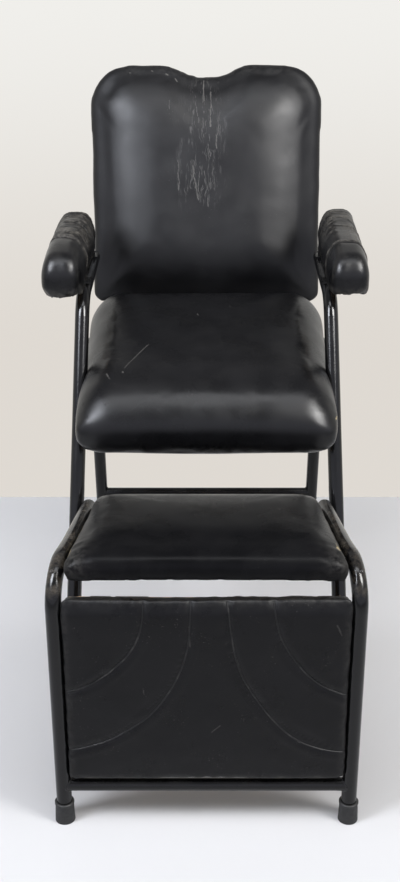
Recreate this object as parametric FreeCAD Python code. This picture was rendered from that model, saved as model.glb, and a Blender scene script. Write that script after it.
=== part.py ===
import FreeCAD
import Part
import math
import os
from collections import namedtuple

# Threading chair: a reclining salon chair on bent steel tubes with a padded leg rest in front.
# Lengths are in millimetres. The chair faces -Y, +X is to the right seen from the front, +Z is up.
# Heights are taken from the floor. Depths are taken back from the upright legs of the leg rest.
# At the end the whole chair is set over its own origin, the middle of the floor that it covers.

# Steel tubes
TUBE_DIAMETER = 25.4
TUBE_WALL = 1.5
BACK_TUBE_DIAMETER = 22.0
BAR_DIAMETER = 19.0
WELD_PLATE = 5.0
WELD_BITE = 0.5
COPE_TRIM = 3.0
STRAP_WIDTH = 28.0

# Front legs, which bend back at the top and become the arms
FRONT_FOOT_HALF_SPREAD = 241.7
FRONT_FOOT_DEPTH = 130.0
FRONT_LEG_RAKE = 26.3
ARM_TUBE_HALF_SPREAD = 220.4
ARM_RISE = 224.0
ARM_TUBE_SETBACK = 6.0
ARM_BEND_RADIUS = 60.0

# Rear legs, which bend forward and become the seat rails
REAR_LEG_HALF_SPREAD = 235.0
REAR_FOOT_DEPTH = 904.0
REAR_LEG_RAKE = 9.4
SEAT_TILT = 5.0
RAIL_FRONT_HEIGHT = 523.0
RAIL_BEND_RADIUS = 60.0
STRETCHER_HEIGHT = 160.0
FRONT_SEAT_BAR_DEPTH = 440.0
REAR_SEAT_BAR_DEPTH = 762.0
SEAT_STRAP_DEPTH = 690.0

# Seat
SEAT_FRONT_DEPTH = 292.0
SEAT_HALF_WIDTH = 226.0
SEAT_REAR_GAP = 65.3
SEAT_THICKNESS = 113.0
SEAT_FRONT_CORNER = 30.0
SEAT_REAR_CORNER = 62.0
SEAT_SIDE_DRAW = 3.0
SEAT_CROWN_DEPTH = 140.0
SEAT_WEDGE = 2.5
SEAT_BASE_DEPTH = 21.0
BOARD_THICKNESS = 12.0
SEAT_BOARD_INSET = 24.0

# Arm pads
ARM_PAD_HALF_SPREAD = 249.0
ARM_PAD_WIDTH = 71.0
ARM_PAD_FRONT_DEPTH = 457.0
ARM_PAD_LENGTH = 287.0
ARM_PAD_THICKNESS = 69.0
ARM_PAD_CORNER = 26.0
ARM_PAD_DRAW = 1.5
ARM_PAD_CROWN_DEPTH = 28.0
ARM_PAD_BASE_DEPTH = 4.0
ARM_BOARD_INSET = 8.0
ARM_BOARD_THICKNESS = 10.0
ARM_BRACKET_THICKNESS = 4.0
ARM_BRACKET_LENGTH = 62.0
ARM_BRACKET_SHARES = (0.30, 0.84)

# Backrest and its pivot
RECLINE = 16.5
PIVOT_RUN = 48.6
PIVOT_RISE = 36.32
PIVOT_TO_PAD = 38.0
BACK_HALF_WIDTH = 223.0
BACK_LENGTH = 462.0
BACK_THICKNESS = 67.0
BACK_LOW_CORNER = 15.0
BACK_TOP_CORNER = 68.0
BACK_DRAW = 2.5
BACK_CROWN_DEPTH = 130.0
BACK_BASE_DEPTH = 6.0
BACK_BOARD_INSET = 9.0
NOTCH_HALF_WIDTH = 73.4
NOTCH_DEPTH = 22.0
NOTCH_SHOULDER_RADIUS = 33.0
REAR_COVER_THICKNESS = 1.6
POST_HALF_SPREAD = 168.0
POST_TAIL = 26.0
POST_TOP = 395.0
POST_BEND_RADIUS = 60.0
POST_BAR_RISE = 70.0
BACK_BOLT_SHARES = (0.24, 0.66)

# Recline plates, pivot bolts and clamp knobs
RECLINE_RANGE = 45.0
SLOT_START = 15.0
SLOT_RADIUS = 55.0
STUD_DIAMETER = 8.0
SLOT_PLAY = 0.3
SLOT_RIM = 12.0
PIVOT_LOBE_RADIUS = 18.0
BAR_LOBE_RADIUS = 17.0
HINGE_LOBE_RADIUS = 14.0
HINGE_TOP_RADIUS = 9.0
HINGE_PLATE_REACH = 60.0
SPACER_THICKNESS = 3.5
SPACER_RADIUS = 11.0
PIVOT_BOLT_DIAMETER = 10.0
PIVOT_HEAD_WIDTH = 17.0
PIVOT_HEAD_HEIGHT = 6.4
PIVOT_NUT_HEIGHT = 8.0
PIVOT_BOLT_SPARE = 2.5
CLAMP_WASHER_THICKNESS = 1.5
CLAMP_WASHER_RADIUS = 10.0
KNOB_RADIUS = 17.0
KNOB_LENGTH = 19.0
KNOB_HUB_RADIUS = 9.0
KNOB_LOBES = 5
KNOB_SCALLOP_RADIUS = 8.0

# Leg rest
LEG_REST_HALF_SPREAD = 235.6
LEG_REST_RAIL_HEIGHT = 477.5
LEG_REST_SLOPE = 9.0
LEG_REST_BEND_RADIUS = 60.0
LEG_REST_NARROW_DEPTH = 115.0
LEG_REST_NARROW_HALF_SPREAD = 220.0
LEG_REST_NARROW_RADIUS = 280.0
LEG_REST_END_DEPTH = 299.0
LEG_REST_END_HALF_SPREAD = 205.0
LOWER_BAR_HEIGHT = 72.0
LOWER_BAR_DIAMETER = 22.0
HOOK_HALF_SPREAD = 150.0
HOOK_WIDTH = 24.0
HOOK_WALL = 3.2
HOOK_PLAY = 0.35
HOOK_TAB = 4.0
LEG_STRAP_SHARES = (0.24, 0.58, 0.93)
LEG_PAD_FRONT_DEPTH = -9.0
LEG_PAD_FRONT_HALF_WIDTH = 222.2
LEG_PAD_REAR_HALF_WIDTH = 191.5
LEG_PAD_LENGTH = 309.0
LEG_PAD_THICKNESS = 46.0
LEG_PAD_FRONT_CORNER = 14.0
LEG_PAD_REAR_CORNER = 26.0
LEG_PAD_DRAW = 4.5
LEG_PAD_CROWN_DEPTH = 120.0
LEG_PAD_BASE_DEPTH = 5.0
LEG_BOARD_INSET = 12.0

# Front panel of the leg rest, with four curved seams
PANEL_BOTTOM = 91.0
PANEL_TOP_GAP = 35.57
PANEL_HALF_WIDTH = 222.2
PANEL_PAD_THICKNESS = 18.4
PANEL_CORNER = 9.0
PANEL_DRAW = 1.5
PANEL_CROWN_DEPTH = 60.0
PANEL_BASE_DEPTH = 2.0
PANEL_BOARD_THICKNESS = 10.0
PANEL_BOARD_INSET = 5.0
SEAM_RADIUS = 4.0
INNER_SEAM_SHARES = ((0.13, 1.03), (0.34, 0.48), (1.03, 0.175))
OUTER_SEAM_SHARES = ((0.44, 1.03), (0.64, 0.66), (1.03, 0.495))
PANEL_TAB_WIDTH = 24.0
PANEL_TAB_REACH = 34.0
PANEL_TAB_SHARES = (0.14, 0.86)

# Feet and tube plugs
FOOT_HEIGHT = 38.0
FOOT_TOP_RADIUS = 15.2
FOOT_BOTTOM_RADIUS = 16.6
FOOT_RIM_RADIUS = 16.2
FOOT_RIM_HEIGHT = 5.0
FOOT_FLOOR = 7.0
RAKED_FOOT_FLOOR = 13.0
FOOT_SINK = 20.0
PLUG_DOME = 5.0
PLUG_SPIGOT = 16.0
FIT_PLAY = 0.1

# Screws
SCREW_DIAMETER = 6.0
SCREW_HEAD_RADIUS = 5.6
SCREW_HEAD_HEIGHT = 3.4
SCREW_BITE = 9.0
SCREW_PLAY = 0.25
SOFT_PLAY = 0.4
OVERRUN = 5.0

# How a pad rises from its board and rounds over, as rise and inset at each level, and then its dome
BASE_LEVEL_SHARES = ((0.0, 1.0), (0.07, 0.42), (0.16, 0.10), (0.30, 0.0))
EDGE_LEVEL_SHARES = ((0.66, 0.0), (0.79, 0.025), (0.87, 0.075), (0.915, 0.14), (0.935, 0.215))
BACK_LEVEL_SHARES = ((0.42, 0.0), (0.46, 0.02), (0.51, 0.05), (0.59, 0.12), (0.70, 0.24))
ARM_LEVEL_SHARES = ((0.55, 0.0), (0.68, 0.05), (0.79, 0.14), (0.88, 0.28), (0.93, 0.42))
DOME_LEVELS = 4
CORNER_PULL_SHARE = 0.586
CORNER_SHRINK_SHARE = 0.9

TUBE_RADIUS = TUBE_DIAMETER / 2
BACK_TUBE_RADIUS = BACK_TUBE_DIAMETER / 2
BAR_RADIUS = BAR_DIAMETER / 2
ARM_TUBE_HEIGHT = RAIL_FRONT_HEIGHT + ARM_RISE
SIDES = (("left", -1), ("right", 1))

Pad = namedtuple(
    "Pad", "low_half high_half length low_corner high_corner draw thickness base_depth crown_depth notch")


def at(x, y, z):
    """A point of the chair."""
    return FreeCAD.Vector(x, y, z)


def tilted(y, z, angle):
    """A frame at depth y and height z, turned about X."""
    return FreeCAD.Placement(at(0, y, z), FreeCAD.Rotation(at(1, 0, 0), angle))


def front_leg_point(height, side):
    """The middle of a front leg at a height."""
    share = height / ARM_TUBE_HEIGHT
    x = FRONT_FOOT_HALF_SPREAD + (ARM_TUBE_HALF_SPREAD - FRONT_FOOT_HALF_SPREAD) * share
    return at(side * x, FRONT_FOOT_DEPTH + height * math.tan(math.radians(FRONT_LEG_RAKE)), height)


def rail_height(depth):
    """The middle height of the seat rails at a depth."""
    front = front_leg_point(RAIL_FRONT_HEIGHT, 1).y
    return RAIL_FRONT_HEIGHT + (depth - front) * math.tan(math.radians(SEAT_TILT))


def pivot_point():
    """The recline pivot, behind and above the rear seat bar."""
    return at(0, REAR_SEAT_BAR_DEPTH + PIVOT_RUN, rail_height(REAR_SEAT_BAR_DEPTH) + PIVOT_RISE)


def rear_leg_depth(height):
    """The depth of a rear leg at a height."""
    return REAR_FOOT_DEPTH - height * math.tan(math.radians(REAR_LEG_RAKE))


def rail_corner_depth():
    """The depth where the line of a rear leg meets the line of its seat rail."""
    lean = math.tan(math.radians(REAR_LEG_RAKE))
    rise = math.tan(math.radians(SEAT_TILT))
    return (REAR_FOOT_DEPTH - lean * rail_height(0)) / (1 + lean * rise)


def leg_rail_height(depth):
    """The middle height of the leg rest's rails at a depth."""
    return LEG_REST_RAIL_HEIGHT - depth * math.tan(math.radians(LEG_REST_SLOPE))


def leg_rail_half_spread(depth):
    """The distance of the leg rest's rails from the middle at a depth."""
    near = (0, LEG_REST_HALF_SPREAD)
    far = (LEG_REST_NARROW_DEPTH, LEG_REST_NARROW_HALF_SPREAD)
    if depth > LEG_REST_NARROW_DEPTH:
        near = far
        far = (LEG_REST_END_DEPTH, LEG_REST_END_HALF_SPREAD)
    return near[1] + (far[1] - near[1]) * (depth - near[0]) / (far[0] - near[0])


def bent_wire(points, radii):
    """Straight runs through the points, joined by tangent arcs."""
    edges = []
    start = points[0]
    for before, corner, after, radius in zip(points, points[1:], points[2:], radii):
        into = (corner - before).normalize()
        out = (after - corner).normalize()
        turn = into.getAngle(out)
        reach = radius * math.tan(turn / 2)
        first = corner - into * reach
        last = corner + out * reach
        inward = (out - into).normalize()
        middle = corner + inward * (radius / math.cos(turn / 2) - radius)
        edges.append(Part.LineSegment(start, first).toShape())
        edges.append(Part.Arc(first, middle, last).toShape())
        start = last
    edges.append(Part.LineSegment(start, points[-1]).toShape())
    return Part.Wire(edges)


def swept(wire, points, radius):
    """A round bar along a wire."""
    circle = Part.Circle(points[0], points[1] - points[0], radius)
    return wire.makePipeShell([Part.Wire([circle.toShape()])], True, False)


def tube(points, radii, radius):
    """A bent tube, as the full round bar and as the bar with its bore cut out."""
    wire = bent_wire(points, radii)
    bar = swept(wire, points, radius)
    return bar, bar.cut(swept(wire, points, radius - TUBE_WALL))


def rod(start, end, radius):
    """A round bar between two points."""
    return Part.makeCylinder(radius, (end - start).Length, start, end - start)


def cross_tube(depth, height, half_spread, radius, neighbours):
    """A level tube across the chair, coped to the tubes that it is welded to."""
    start = at(COPE_TRIM - half_spread, depth, height)
    middle = at(0, depth, height)
    shape = rod(start, middle, radius).cut(rod(start, middle, radius - TUBE_WALL))
    for neighbour in neighbours:
        shape = shape.cut(neighbour)
    half = max(shape.Solids, key=lambda solid: solid.Volume)
    return half.fuse(mirrored(half)).removeSplitter()


def block(x_mid, x_size, y_low, y_size, z_low, z_size):
    """A box centred on X."""
    return Part.makeBox(x_size, y_size, z_size, at(x_mid - x_size / 2, y_low, z_low))


def lathe(profile, start, axis):
    """A turned solid: radius and rise pairs, stood on a start point along an axis."""
    corners = [at(radius, 0, rise) for radius, rise in profile]
    face = Part.Face(Part.makePolygon(corners + [corners[0]]))
    shape = face.revolve(at(0, 0, 0), at(0, 0, 1), 360)
    shape.Placement = FreeCAD.Placement(start, FreeCAD.Rotation(at(0, 0, 1), axis))
    return shape


def screw(start, axis, length, radius):
    """A pan head screw. The start point is under the head and the shaft runs along the axis."""
    head = SCREW_HEAD_RADIUS
    rise = SCREW_HEAD_HEIGHT
    profile = [(0, -rise), (head * 0.6, -rise), (head, -rise * 0.45), (head, 0)]
    profile += [(radius, 0), (radius, length - radius), (radius * 0.3, length), (0, length)]
    return lathe(profile, start, axis)


def hexagon(start, axis, width, height):
    """A six sided prism on a start point along an axis."""
    radius = width / 2 / math.cos(math.radians(30))
    corners = [at(radius * math.cos(math.radians(60 * k)), radius * math.sin(math.radians(60 * k)), 0)
               for k in range(7)]
    shape = Part.Face(Part.makePolygon(corners)).extrude(at(0, 0, height))
    shape.Placement = FreeCAD.Placement(start, FreeCAD.Rotation(at(0, 0, 1), axis))
    return shape


def side_arc(start, end, draw):
    """A side between two corners, drawn in towards the middle of the pad."""
    along = end - start
    inward = at(-along.y, along.x, 0).normalize()
    return Part.Arc(start, (start + end) / 2 + inward * draw, end).toShape()


def corner_ends(corner, before, after, radius):
    """Where a rounded corner starts and ends on its two sides."""
    return corner + (before - corner).normalize() * radius, corner + (after - corner).normalize() * radius


def notch_edges(right, left, level, pad_inset):
    """The top side of the back pad: a dip for the neck between two round shoulders."""
    valley_radius = (NOTCH_HALF_WIDTH ** 2 + NOTCH_DEPTH ** 2) / (2 * NOTCH_DEPTH) - NOTCH_SHOULDER_RADIUS
    shoulder_radius = NOTCH_SHOULDER_RADIUS - pad_inset * NOTCH_SHOULDER_RADIUS / (2 * BACK_CROWN_DEPTH)
    valley_radius += NOTCH_SHOULDER_RADIUS - shoulder_radius
    valley = at(0, level.y - NOTCH_DEPTH + valley_radius, level.z)
    shoulder = at(NOTCH_HALF_WIDTH, level.y - shoulder_radius, level.z)
    meet = valley + (shoulder - valley).normalize() * valley_radius
    meet_left = at(-meet.x, meet.y, meet.z)
    top = shoulder + at(0, shoulder_radius, 0)
    top_left = at(-top.x, top.y, top.z)
    bend = shoulder + ((top + meet) / 2 - shoulder).normalize() * shoulder_radius
    bend_left = at(-bend.x, bend.y, bend.z)
    bottom = valley - at(0, valley_radius, 0)
    return [Part.LineSegment(right, top).toShape(), Part.Arc(top, bend, meet).toShape(),
            Part.Arc(meet, bottom, meet_left).toShape(), Part.Arc(meet_left, bend_left, top_left).toShape(),
            Part.LineSegment(top_left, left).toShape()]


def pad_outline(pad, inset, rise):
    """One level of a pad: sides drawn in between rounded corners."""
    low_half = pad.low_half - inset
    high_half = pad.high_half - inset
    corners = [at(-low_half, inset, rise), at(low_half, inset, rise),
               at(high_half, pad.length - inset, rise), at(-high_half, pad.length - inset, rise)]
    shrink = 1 - CORNER_SHRINK_SHARE * inset / pad.crown_depth
    radii = [r * shrink for r in (pad.low_corner, pad.low_corner, pad.high_corner, pad.high_corner)]
    edges = []
    for k in range(4):
        corner, after, second = corners[k], corners[(k + 1) % 4], corners[(k + 2) % 4]
        leave = corner_ends(corner, corners[k - 1], after, radii[k])[1]
        arrive, turned = corner_ends(after, corner, second, radii[(k + 1) % 4])
        if k == 2 and pad.notch:
            edges += notch_edges(leave, arrive, corner, inset)
        else:
            edges.append(side_arc(leave, arrive, pad.draw))
        middle = (arrive + turned) / 2
        edges.append(Part.Arc(arrive, middle + (after - middle) * (1 - CORNER_PULL_SHARE), turned).toShape())
    return Part.Wire(edges)


def soft_pad(pad, edge_shares, wedge):
    """A crowned pad: its sides and round edge as one loft, and the dome on them as another.

    The wedge is the angle by which its top rises towards its far end.
    """
    levels = [(rise, inset * pad.base_depth) for rise, inset in BASE_LEVEL_SHARES]
    levels += [(rise, inset * pad.crown_depth) for rise, inset in edge_shares]
    edge_rise, edge_inset = edge_shares[-1]
    dome = []
    for k in range(DOME_LEVELS + 1):
        run = k / DOME_LEVELS
        rise = edge_rise + (1 - edge_rise) * (1 - (1 - run) ** 2)
        dome.append((rise, (edge_inset + (1 - edge_inset) * run) * pad.crown_depth))
    lofts = []
    for course in (levels, dome):
        wires = []
        for rise, inset in course:
            wire = pad_outline(pad, inset, rise * pad.thickness)
            wire.rotate(at(0, 0, rise * pad.thickness), at(1, 0, 0), wedge * rise)
            wires.append(wire)
        lofts.append(Part.makeLoft(wires, True, False))
    return lofts[0].fuse(lofts[1]).removeSplitter()


def pad_board(pad, inset, low, thickness):
    """A flat board with a pad's outline, inset all round."""
    outline = pad_outline(pad, inset, low)
    return Part.Face(outline).extrude(at(0, 0, thickness))


def link(first, second, first_radius, second_radius, thickness, x_low):
    """A flat plate with round ends round two points, standing across X."""
    plates = []
    for point, radius in ((first, first_radius), (second, second_radius)):
        plates.append(Part.makeCylinder(radius, thickness, at(x_low, point.y, point.z), at(1, 0, 0)))
    along = second - first
    lean = math.acos((first_radius - second_radius) / along.Length)
    heading = math.atan2(along.z, along.y)
    corners = []
    for point, radius, turn in ((first, first_radius, lean), (second, second_radius, lean),
                                (second, second_radius, -lean), (first, first_radius, -lean)):
        angle = heading + turn
        corners.append(at(x_low, point.y + radius * math.cos(angle), point.z + radius * math.sin(angle)))
    web = Part.Face(Part.makePolygon(corners + [corners[0]])).extrude(at(thickness, 0, 0))
    return plates[0].fuse([plates[1], web]).removeSplitter()


def ring_point(angle, radius):
    """A point round the recline pivot, with the angle in degrees up from the rear."""
    turn = math.radians(angle)
    return pivot_point() + at(0, radius * math.cos(turn), radius * math.sin(turn))


def arc_band(first, last, middle_radius, half_width, x_low, thickness):
    """A curved band round the recline pivot with round ends."""
    outer = middle_radius + half_width
    inner = middle_radius - half_width
    between = (first + last) / 2
    edges = [Part.Arc(*[ring_point(a, outer) for a in (first, between, last)]).toShape()]
    edges.append(Part.LineSegment(ring_point(last, outer), ring_point(last, inner)).toShape())
    edges.append(Part.Arc(*[ring_point(a, inner) for a in (last, between, first)]).toShape())
    edges.append(Part.LineSegment(ring_point(first, inner), ring_point(first, outer)).toShape())
    band = Part.Face(Part.Wire(edges))
    band.translate(at(x_low, 0, 0))
    shape = band.extrude(at(thickness, 0, 0))
    for angle in (first, last):
        point = ring_point(angle, middle_radius) + at(x_low, 0, 0)
        shape = shape.fuse(Part.makeCylinder(half_width, thickness, point, at(1, 0, 0)))
    return shape.removeSplitter()


def mirrored(shape):
    """The same piece for the left side."""
    return shape.mirror(at(0, 0, 0), at(1, 0, 0))


def foot(start, axis, floor):
    """A rubber ferrule round a tube end, cut flat where it meets the floor."""
    bore = TUBE_RADIUS + FIT_PLAY
    rise = FOOT_HEIGHT + floor - FOOT_FLOOR
    profile = [(0, -FOOT_SINK), (FOOT_BOTTOM_RADIUS, -FOOT_SINK), (FOOT_BOTTOM_RADIUS, 0)]
    profile += [(FOOT_TOP_RADIUS, rise - FOOT_RIM_HEIGHT), (FOOT_RIM_RADIUS, rise - FOOT_RIM_HEIGHT * 0.8)]
    profile += [(FOOT_RIM_RADIUS, rise - FOOT_RIM_HEIGHT * 0.2), (FOOT_TOP_RADIUS, rise), (bore, rise)]
    profile += [(bore, floor), (0, floor)]
    shape = lathe(profile, start, axis)
    reach = 2 * (FOOT_SINK + FOOT_BOTTOM_RADIUS)
    ground = block(0, 4 * FRONT_FOOT_HALF_SPREAD, start.y - reach, 2 * reach, -reach, reach)
    return shape.cut(ground)


def tube_plug(end, axis, radius):
    """A domed plug that closes a tube end."""
    spigot = radius - TUBE_WALL - FIT_PLAY
    profile = [(0, -PLUG_SPIGOT), (spigot, -PLUG_SPIGOT), (spigot, 0), (radius, 0)]
    profile += [(radius * 0.97, PLUG_DOME * 0.4), (radius * 0.8, PLUG_DOME * 0.8), (radius * 0.45, PLUG_DOME)]
    profile += [(0, PLUG_DOME)]
    return lathe(profile, end, axis)


def along_from_floor(floor_point, upper_point, distance):
    """The point at a distance up a leg from where its line meets the floor."""
    return floor_point + (upper_point - floor_point).normalize() * distance


def drilled(shape, fasteners, play):
    """A piece with a running hole for each screw that passes through it."""
    for start, axis, length in fasteners:
        way = FreeCAD.Vector(axis).normalize()
        hole = rod(start - way * OVERRUN, start + way * (length + play), SCREW_DIAMETER / 2 + play)
        shape = shape.cut(hole)
    return shape


def build_frame(parts):
    """The welded chair frame: front legs with arms, rear legs with seat rails, and the bars between."""
    bars = {}
    for name, side in SIDES:
        floor_point = front_leg_point(0, side)
        corner = front_leg_point(ARM_TUBE_HEIGHT, side)
        points = [along_from_floor(floor_point, corner, RAKED_FOOT_FLOOR), corner,
                  at(corner.x, ARM_PAD_FRONT_DEPTH + ARM_PAD_LENGTH - ARM_TUBE_SETBACK, ARM_TUBE_HEIGHT)]
        bars[name], parts[name + "_front_leg_and_arm"] = tube(points, [ARM_BEND_RADIUS], TUBE_RADIUS)
        parts[name + "_front_foot"] = foot(floor_point, corner - floor_point, RAKED_FOOT_FLOOR)
        bars[name + "_plug"] = tube_plug(points[-1], at(0, 1, 0), TUBE_RADIUS)
    parts["arm_tube_plugs"] = Part.makeCompound([bars["left_plug"], bars["right_plug"]])

    rails = []
    for name, side in SIDES:
        corner_depth = rail_corner_depth()
        floor_point = at(side * REAR_LEG_HALF_SPREAD, REAR_FOOT_DEPTH, 0)
        corner = at(side * REAR_LEG_HALF_SPREAD, corner_depth, rail_height(corner_depth))
        start = along_from_floor(floor_point, corner, FOOT_FLOOR + FIT_PLAY)
        front = front_leg_point(RAIL_FRONT_HEIGHT, side)
        bar, rail = tube([start, corner, front], [RAIL_BEND_RADIUS], TUBE_RADIUS)
        rails.append(bar)
        parts[name + "_rear_leg_and_rail"] = rail.cut(bars[name])
        parts[name + "_rear_foot"] = foot(floor_point, corner - floor_point, FOOT_FLOOR + FIT_PLAY)

    legs = [bars["left"], bars["right"]]
    rear_bar = (REAR_SEAT_BAR_DEPTH, rail_height(REAR_SEAT_BAR_DEPTH))
    parts["front_seat_bar"] = cross_tube(
        FRONT_SEAT_BAR_DEPTH, rail_height(FRONT_SEAT_BAR_DEPTH), REAR_LEG_HALF_SPREAD, TUBE_RADIUS, rails)
    parts["rear_seat_bar"] = cross_tube(*rear_bar, REAR_LEG_HALF_SPREAD, TUBE_RADIUS, rails)
    parts["rear_stretcher"] = cross_tube(
        rear_leg_depth(STRETCHER_HEIGHT), STRETCHER_HEIGHT, REAR_LEG_HALF_SPREAD, BAR_RADIUS, rails)
    hinge = hinge_point()
    parts["leg_rest_hinge_bar"] = cross_tube(hinge.y, hinge.z, hinge.x, BAR_RADIUS, legs)
    return legs, rails


def seat_place():
    """The frame of the seat: its front edge at the level of the rail tops."""
    tilt = math.radians(SEAT_TILT)
    rise = TUBE_RADIUS / math.cos(tilt)
    return tilted(SEAT_FRONT_DEPTH, rail_height(SEAT_FRONT_DEPTH) + rise, SEAT_TILT)


def build_seat(parts, legs, rails):
    """The seat pad on its board, screwed to a bar in front and a strap behind."""
    place = seat_place()
    run = pivot_point().y - SEAT_REAR_GAP - SEAT_FRONT_DEPTH
    length = run / math.cos(math.radians(SEAT_TILT))
    pad = Pad(SEAT_HALF_WIDTH, SEAT_HALF_WIDTH, length, SEAT_FRONT_CORNER, SEAT_REAR_CORNER,
              SEAT_SIDE_DRAW, SEAT_THICKNESS, SEAT_BASE_DEPTH, SEAT_CROWN_DEPTH, False)
    cushion = soft_pad(pad, EDGE_LEVEL_SHARES, SEAT_WEDGE)
    board = pad_board(pad, SEAT_BOARD_INSET, 0, BOARD_THICKNESS)
    cushion = cushion.cut(board)
    cushion.Placement = place
    board.Placement = place
    for side in (-1, 1):
        lower = front_leg_point(RAIL_FRONT_HEIGHT - SEAT_THICKNESS, side)
        upper = front_leg_point(RAIL_FRONT_HEIGHT + 2 * SEAT_THICKNESS, side)
        cushion = cushion.cut(rod(lower, upper, TUBE_RADIUS + SOFT_PLAY))

    strap_y = (SEAT_STRAP_DEPTH - SEAT_FRONT_DEPTH) / math.cos(math.radians(SEAT_TILT))
    strap_low = strap_y - STRAP_WIDTH / 2
    strap_length = 2 * (REAR_LEG_HALF_SPREAD - COPE_TRIM)
    strap = block(0, strap_length, strap_low, STRAP_WIDTH, -WELD_PLATE, WELD_PLATE)
    strap.Placement = place
    strap = strap.cut(Part.makeCompound(rails))

    up = place.Rotation.multVec(at(0, 0, 1))
    bar_y = (FRONT_SEAT_BAR_DEPTH - SEAT_FRONT_DEPTH) / math.cos(math.radians(SEAT_TILT))
    runs = []
    for x in (-SEAT_HALF_WIDTH / 2, SEAT_HALF_WIDTH / 2):
        runs.append((place.multVec(at(x, bar_y, -TUBE_DIAMETER)), up, TUBE_DIAMETER + SCREW_BITE))
        runs.append((place.multVec(at(x, strap_y, -WELD_PLATE)), up, WELD_PLATE + SCREW_BITE))
    screws = [screw(*run, SCREW_DIAMETER / 2) for run in runs]
    parts["front_seat_bar"] = drilled(parts["front_seat_bar"], runs, SCREW_PLAY)
    parts["rear_seat_strap"] = drilled(strap, runs, SCREW_PLAY)
    parts["seat_board"] = board.cut(screws)
    parts["seat_cushion"] = cushion
    parts["seat_screws"] = Part.makeCompound(screws)


def build_arms(parts):
    """Arm pads on boards, each held to its tube by two flat brackets."""
    half_width = ARM_PAD_WIDTH / 2
    pad = Pad(half_width, half_width, ARM_PAD_LENGTH, ARM_PAD_CORNER, ARM_PAD_CORNER, ARM_PAD_DRAW,
              ARM_PAD_THICKNESS, ARM_PAD_BASE_DEPTH, ARM_PAD_CROWN_DEPTH, False)
    bottom = ARM_TUBE_HEIGHT + TUBE_RADIUS + ARM_BRACKET_THICKNESS
    cushion = soft_pad(pad, ARM_LEVEL_SHARES, 0)
    board = pad_board(pad, ARM_BOARD_INSET, 0, ARM_BOARD_THICKNESS)
    cushion = cushion.cut(board)
    place = FreeCAD.Placement(at(ARM_PAD_HALF_SPREAD, ARM_PAD_FRONT_DEPTH, bottom), FreeCAD.Rotation())
    cushion.Placement = place
    board.Placement = place
    brackets = []
    runs = []
    inner = ARM_TUBE_HALF_SPREAD - TUBE_RADIUS
    for share in ARM_BRACKET_SHARES:
        depth = ARM_PAD_FRONT_DEPTH + ARM_PAD_LENGTH * share
        plate = Part.makeBox(ARM_BRACKET_LENGTH, STRAP_WIDTH, ARM_BRACKET_THICKNESS,
                             at(inner, depth - STRAP_WIDTH / 2, bottom - ARM_BRACKET_THICKNESS))
        start = at(ARM_PAD_HALF_SPREAD + SCREW_HEAD_RADIUS, depth, bottom - ARM_BRACKET_THICKNESS)
        runs.append((start, at(0, 0, 1), ARM_BRACKET_THICKNESS + SCREW_BITE - SCREW_PLAY))
        brackets.append(plate)
    brackets = [drilled(plate, runs, SCREW_PLAY) for plate in brackets]
    screws = [screw(*run, SCREW_DIAMETER / 2) for run in runs]
    board = board.cut(screws)
    for name, side in SIDES:
        flip = (lambda shape: shape) if side > 0 else mirrored
        parts[name + "_arm_pad"] = flip(cushion)
        parts[name + "_arm_board"] = flip(board)
        parts[name + "_arm_brackets"] = Part.makeCompound([flip(plate) for plate in brackets])
        parts[name + "_arm_screws"] = Part.makeCompound([flip(item) for item in screws])


def back_place():
    """The frame of the backrest: X across, Y up along it, Z out of its front face."""
    pivot = pivot_point()
    place = tilted(pivot.y, pivot.z, 90 - RECLINE)
    origin = place.multVec(at(0, PIVOT_TO_PAD, BACK_TUBE_RADIUS + REAR_COVER_THICKNESS))
    return FreeCAD.Placement(origin, place.Rotation)


def plate_inner_x():
    """The inner face of the recline plate on the right."""
    return POST_HALF_SPREAD + BACK_TUBE_RADIUS + WELD_PLATE + SPACER_THICKNESS


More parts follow.
